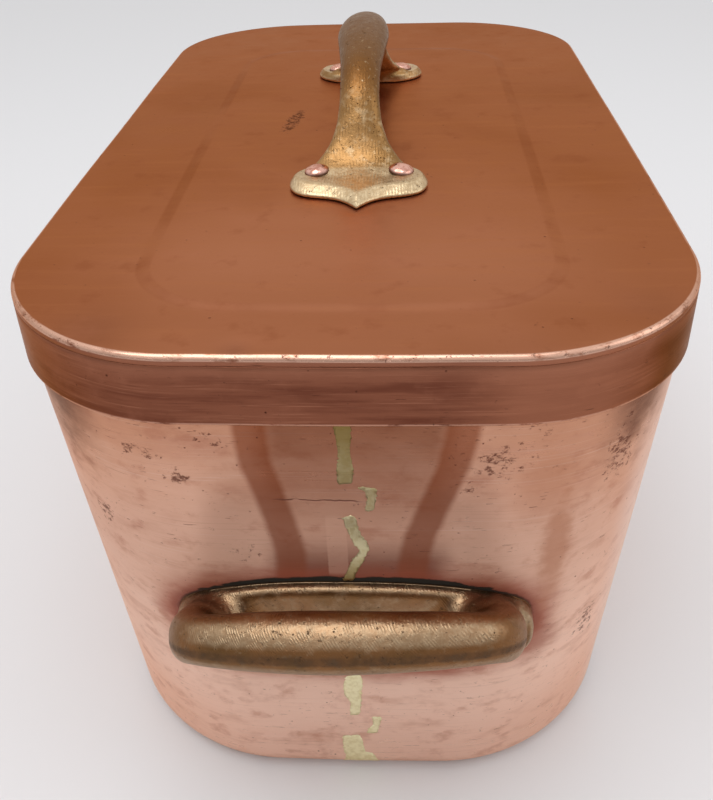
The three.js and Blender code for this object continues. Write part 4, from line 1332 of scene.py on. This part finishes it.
def foot_ring(bevel, z):
    side, toe = bevel * 0.4, TOE - bevel
    start = (0, TOE - bevel * 1.25)
    first = (EAR * 0.42, toe - 11)
    ear = (EAR - side, TOE - FOOT_LENGTH * 0.58 - side)
    rivet = (RIVET_X + 2.5, HEEL + 3 + side / 2)
    half = np.vstack([
        [start], bezier(start, (EAR * 0.1, start[1] - 3), (EAR * 0.17, toe - 8.5), first),
        bezier(first, (EAR * 0.62, toe - 13), (EAR * 0.95 - side, toe - 12.5), ear),
        bezier(ear, (EAR + 0.5 - side, HEEL + 12), (EAR - 3 - side, HEEL + 7 + side / 2), rivet),
        bezier(rivet, (RIVET_X - 1, HEEL + 1), (RIVET_X - 5, HEEL), (0, HEEL))])
    ring = np.vstack([half, half[-2:0:-1] * (-1, 1)])
    return np.column_stack([ring[:, 0], -ring[:, 1], np.full(len(ring), FOOT_SEAT + z)])


def bridge_shape():
    grip, thick, neck, spread = 12.6, 7.6, 9.0, RIVET_X
    rise = 50 - thick
    # Each station: its y and height, and half the bridge's width and thickness
    stations = [
        (HEEL + 20, FOOT_THICK * 0.55, spread * 1.15, FOOT_THICK * 0.42),
        (HEEL + 11, FOOT_THICK * 0.85, spread * 1.25, FOOT_THICK * 0.62),
        (HEEL + 4.5, rise * 0.16, spread, thick * 0.52),
        (HEEL - 1.5, rise * 0.3, (spread + neck) * 0.48, thick * 0.66),
        (HEEL - 6.5, rise * 0.48, neck * 1.13, thick * 0.76),
        (HEEL - 13, rise * 0.69, neck, thick * 0.82),
        (HEEL - 25, rise * 0.86, neck * 1.02, thick * 0.88),
        (HEEL * 0.34, rise * 0.97, (grip + neck) * 0.51, thick * 0.97),
        (0, rise, grip, thick)]
    path = both_ways([(0, -y, FOOT_SEAT + z) for y, z, _, _ in stations], (1, -1, 1))
    sizes = both_ways([(a, w, 0) for _, _, a, w in stations], (1, 1, 1))
    return skin(oval_sweep(path, sizes, np.array([1.0, 0, 0]), 120, 44, 2.0))


def lid_handle():
    foot, faces = skin([foot_ring(0, -0.15), foot_ring(0, 1.3),
                        foot_ring(FOOT_BEVEL * 0.8, FOOT_THICK * 0.93),
                        foot_ring(FOOT_BEVEL, FOOT_THICK)])
    shapes = [bridge_shape(), (foot, faces), (foot * (-1, -1, 1), faces)]
    mesh, points, normals, pairs = cast(shapes, 0.62, 50, 2)
    wobble = 0.2 * np.sin(points[:, 1] / 11 + 1) * np.sin(points[:, 0] / 7 + 2) - 0.2
    points += normals * (wobble * ramp(points[:, 2] - FOOT_SEAT, 3, 3))[:, None]
    points[:, 2] = np.maximum(points[:, 2], FOOT_SEAT - 0.12)
    settle(mesh, points)
    height, upward = points[:, 2] - FOOT_SEAT, normals[:, 2]
    bevel = ramp(upward, 0.35, 0.2) * ramp(upward, 0.97, -0.05) * ramp(np.abs(points[:, 1]), 86, 6)
    flat = ramp(upward, 0.88, 0.06) * ramp(height, FOOT_THICK + 4, -3)
    filed = np.maximum(bevel * (height < FOOT_THICK + 0.5), 0.65 * flat)
    # Painted reflection: the high part of the handle is darkened through the hollow note
    open_up, painted_darkening = 1 - 0.75 * ramp(upward, 0.3, 0.4), ramp(height, 22, 16) * 0.2
    note(mesh, "hollow", hollows(mesh, points, pairs) * open_up + painted_darkening)
    note(mesh, "filed", filed)
    return mesh


piece("lid_bridge_casting", lid_handle(), BRIDGE_BRASS, "lid", "cast_brass", "lid_handle")

# %% [markdown]
# Ten rivets hold the handles. One tree makes a rivet from a squashed ball for the head, a shank
# and a flatter closed head, puts one at each point it is given, turned to that point's direction,
# and tips and sizes each a little by a fixed seed, since no two were struck alike.

# %% Rivets by Geometry Nodes
TIP_SEED, SIZE_SEED = 7, 5


def rivet_tree(material):
    graph, given, known = new_tree("rivets_at_points", "Seats", (
        "Head radius", "Head height", "Shank radius", "Shank length", "Closed radius",
        "Closed height", "Tip"), "Rivets")

    def dome(radius, height, segments, foot=0.0):
        ball = graph.node("GeometryNodeMeshUVSphere",
                          inputs={"Segments": segments, "Rings": 18, "Radius": 1.0})
        x, y, z = graph.apart(graph.node("GeometryNodeInputPosition"))
        # The lower half is drawn up to the seat, which closes the head with a flat face
        z = z.most(0.0)
        crown = graph.node("GeometryNodeStoreNamedAttribute",
                           {"data_type": "FLOAT", "domain": "POINT"},
                           {"Geometry": ball, "Name": "crown", "Value": z})
        place = graph.together(x * radius, y * radius, z * height + foot)
        return graph.node("GeometryNodeSetPosition", inputs={"Geometry": crown, "Position": place})

    long = given.out("Shank length")
    shank = graph.node("GeometryNodeMeshCylinder", inputs={
        "Vertices": 24, "Radius": given.out("Shank radius"), "Depth": long + 0.0004})
    shank = graph.node("GeometryNodeTransform", inputs={
        "Geometry": shank, "Translation": graph.together(z=long * -0.5)})
    head = dome(given.out("Head radius"), given.out("Head height"), 40)
    closed = dome(given.out("Closed radius"), -given.out("Closed height"), 32, -long)
    rivet = graph.node("GeometryNodeJoinGeometry", inputs={0: head})
    for part in (shank, closed):
        graph.tree.links.new(part.socket, rivet.socket.node.inputs[0])
    outward = graph.node("GeometryNodeInputNamedAttribute", {"data_type": "FLOAT_VECTOR"},
                         {"Name": "outward"})
    facing = graph.node("FunctionNodeAlignRotationToVector", {"axis": "Z"}, {"Vector": outward})
    chance = graph.node("FunctionNodeRandomValue", {"data_type": "FLOAT_VECTOR"}, {
        0: (-1.0, -1.0, -3.1), 1: (1.0, 1.0, 3.1), "Seed": TIP_SEED})
    tip = graph.scaled(graph.vector("MULTIPLY", chance, LEVEL), given.out("Tip"))
    tip = graph.node("FunctionNodeEulerToRotation", inputs={0: tip})
    turned = graph.node("FunctionNodeRotateRotation", {"rotation_space": "LOCAL"},
                        {0: facing, 1: tip})
    near = graph.node("FunctionNodeRandomValue", {"data_type": "FLOAT"},
                      {2: 0.95, 3: 1.0, "Seed": SIZE_SEED}, out=1)
    rivets = graph.node("GeometryNodeInstanceOnPoints", inputs={
        "Points": given, "Instance": rivet, "Rotation": turned, "Scale": near})
    # Real points are needed before the noise can move them
    rivets = graph.node("GeometryNodeRealizeInstances", inputs={0: rivets})
    noise = graph.node("ShaderNodeTexNoise", inputs={"Scale": 330.0, "Detail": 1.0})
    end_tree(graph, shaken(graph, rivets, noise, 0.0006), material)
    return graph, known


def rivets_at(name, seats, length, body, nodes):
    """One mesh of rivets at rows of (place, direction) in millimetres."""
    places, ways = zip(*seats)
    mesh = mesh_of(places, [])
    layer = mesh.attributes.new("outward", "FLOAT_VECTOR", "POINT")
    layer.data.foreach_set("vector", np.array(ways, np.float32).ravel())
    made = grown(name, mesh, *rivet_tree(RIVET_COPPER), {
        "Head radius": 0.00565, "Head height": 0.003, "Closed radius": 0.0052,
        "Closed height": 0.0018, "Shank radius": 0.003, "Shank length": length / 1000, "Tip": 0.03})
    piece(name, made, RIVET_COPPER, body, "rivet_copper", *nodes)


ENDS, PLATE_RIVETS = ("front", "rear"), {"left": -23.0, "middle": 0.0, "right": 23.0}
lid_seats = [((x * RIVET_X, y * RIVET_Y, FOOT_SEAT + FOOT_THICK + 0.1), (x * 0.1, y * 0.06, 1.0))
             for y in (-1, 1) for x in (-1, 1)]
rivets_at("lid_rivets", lid_seats, 7.0, "lid",
          [f"lid_rivet_{end}_{side}" for end in ENDS for side in ("left", "right")])

out_y, out_z, proud = -math.cos(WALL_TILT), -math.sin(WALL_TILT), PLATE_FACE + 0.2
y = -float(end_wall(0.0, HANDLE_HEIGHT)) + out_y * proud
plate_seats = [((sign * x, sign * y, HANDLE_HEIGHT + out_z * proud), (0.0, sign * out_y, out_z))
               for sign in (1, -1) for x in PLATE_RIVETS.values()]
rivets_at("handle_rivets", plate_seats, 8.2, "pan",
          [f"{end}_handle_rivet_{side}" for end in ENDS for side in PLATE_RIVETS])

# %% [markdown]
# Polished metal shows what stands round it, so the light is part of the finish. The floor is pale
# and plain, a broad soft lamp hangs over the front, and the room that metal sees is light above
# and greyer towards the horizon, which draws the form of every curve.

# %% Floor, light and room
FLOOR_COLOUR, FLOOR_ROUGHNESS, FLOOR_HALF = (0.76, 0.765, 0.79, 1.0), 0.75, 9
AIM = (0, 0, 0.15)


def pale_floor():
    material = bpy.data.materials.new("pale_floor")
    material.use_nodes = True
    shader = material.node_tree.nodes["Principled BSDF"]
    shader.inputs["Base Color"].default_value = FLOOR_COLOUR
    shader.inputs["Roughness"].default_value = FLOOR_ROUGHNESS
    mesh = bpy.data.meshes.new("floor")
    corners = [(x * FLOOR_HALF, y * FLOOR_HALF, 0) for x, y in ((-1, -1), (1, -1), (1, 1), (-1, 1))]
    mesh.from_pydata(corners, [], [(0, 1, 2, 3)])
    mesh.materials.append(material)
    in_scene("floor", mesh)


def lamp(name, place, size, power):
    light = bpy.data.lights.new(name, "AREA")
    light.shape, light.size, light.energy = "SQUARE", size, power
    made = in_scene(name, light)
    made.location = place
    made.rotation_euler = (Vector(AIM) - Vector(place)).to_track_quat("-Z", "Y").to_euler()


def room():
    """Light from all round: what metal sees, and one plain level where the camera looks past."""
    world = bpy.data.worlds.new("room")
    bpy.context.scene.world = world
    world.use_nodes = True
    graph = Graph(world.node_tree)
    graph.tree.nodes.clear()
    _, y, z = graph.apart(graph.node("ShaderNodeTexCoord").out("Generated"))
    up, front = graph.step(z, 0.0, 0.75), graph.step(y, 0.1, -0.9)
    level = 0.64 + up * 0.24 - front * (1 - up) * 0.26
    seen = graph.node("ShaderNodeLightPath").out("Is Camera Ray")
    level = level * (1 - seen) + seen * 0.8
    light = graph.node("ShaderNodeBackground", inputs={
        "Color": (1.0, 0.985, 0.97, 1.0), "Strength": level})
    graph.node("ShaderNodeOutputWorld", inputs={0: light})


pale_floor()
room()
lamp("overhead_soft_lamp", (-0.25, -0.35, 1.5), 1.1, 8)
lamp("right_fill_lamp", (1.3, -0.2, 0.9), 0.9, 2.5)
print("floor, room and two lamps ready")

# %% [markdown]
# The camera stands in front of one end, a little to the right, and looks down about 34 degrees.
# Its place and lens are the ones that put the rim, the base and the handles where the photograph
# has them.

# %% Camera
YAW, PITCH, ROLL = math.radians(-3.43), math.radians(34.05), math.radians(-1.85)
CAMERA_PLACE, LENS, SENSOR = (0.0193, -0.4777, 0.3862), 41.97, 36.0
forward = Vector((math.sin(YAW) * math.cos(PITCH), math.cos(YAW) * math.cos(PITCH),
                  -math.sin(PITCH)))
right = Vector((math.cos(YAW), -math.sin(YAW), 0.0))
up = right.cross(forward)
tilted_right = right * math.cos(ROLL) + up * math.sin(ROLL)
tilted_up = up * math.cos(ROLL) - right * math.sin(ROLL)
lens = bpy.data.cameras.new("camera")
lens.lens, lens.sensor_width = LENS, SENSOR
camera = in_scene("camera", lens)
turned = Matrix((tilted_right, tilted_up, -forward)).transposed().to_4x4()
camera.matrix_world = Matrix.Translation(CAMERA_PLACE) @ turned
bpy.context.scene.camera = camera
bpy.context.scene.view_settings.view_transform = "Standard"
print("camera stands at", CAMERA_PLACE)

# %% [markdown]
# Last, the scene is brought up to date.

# %% Bring the scene up to date
bpy.context.view_layer.update()
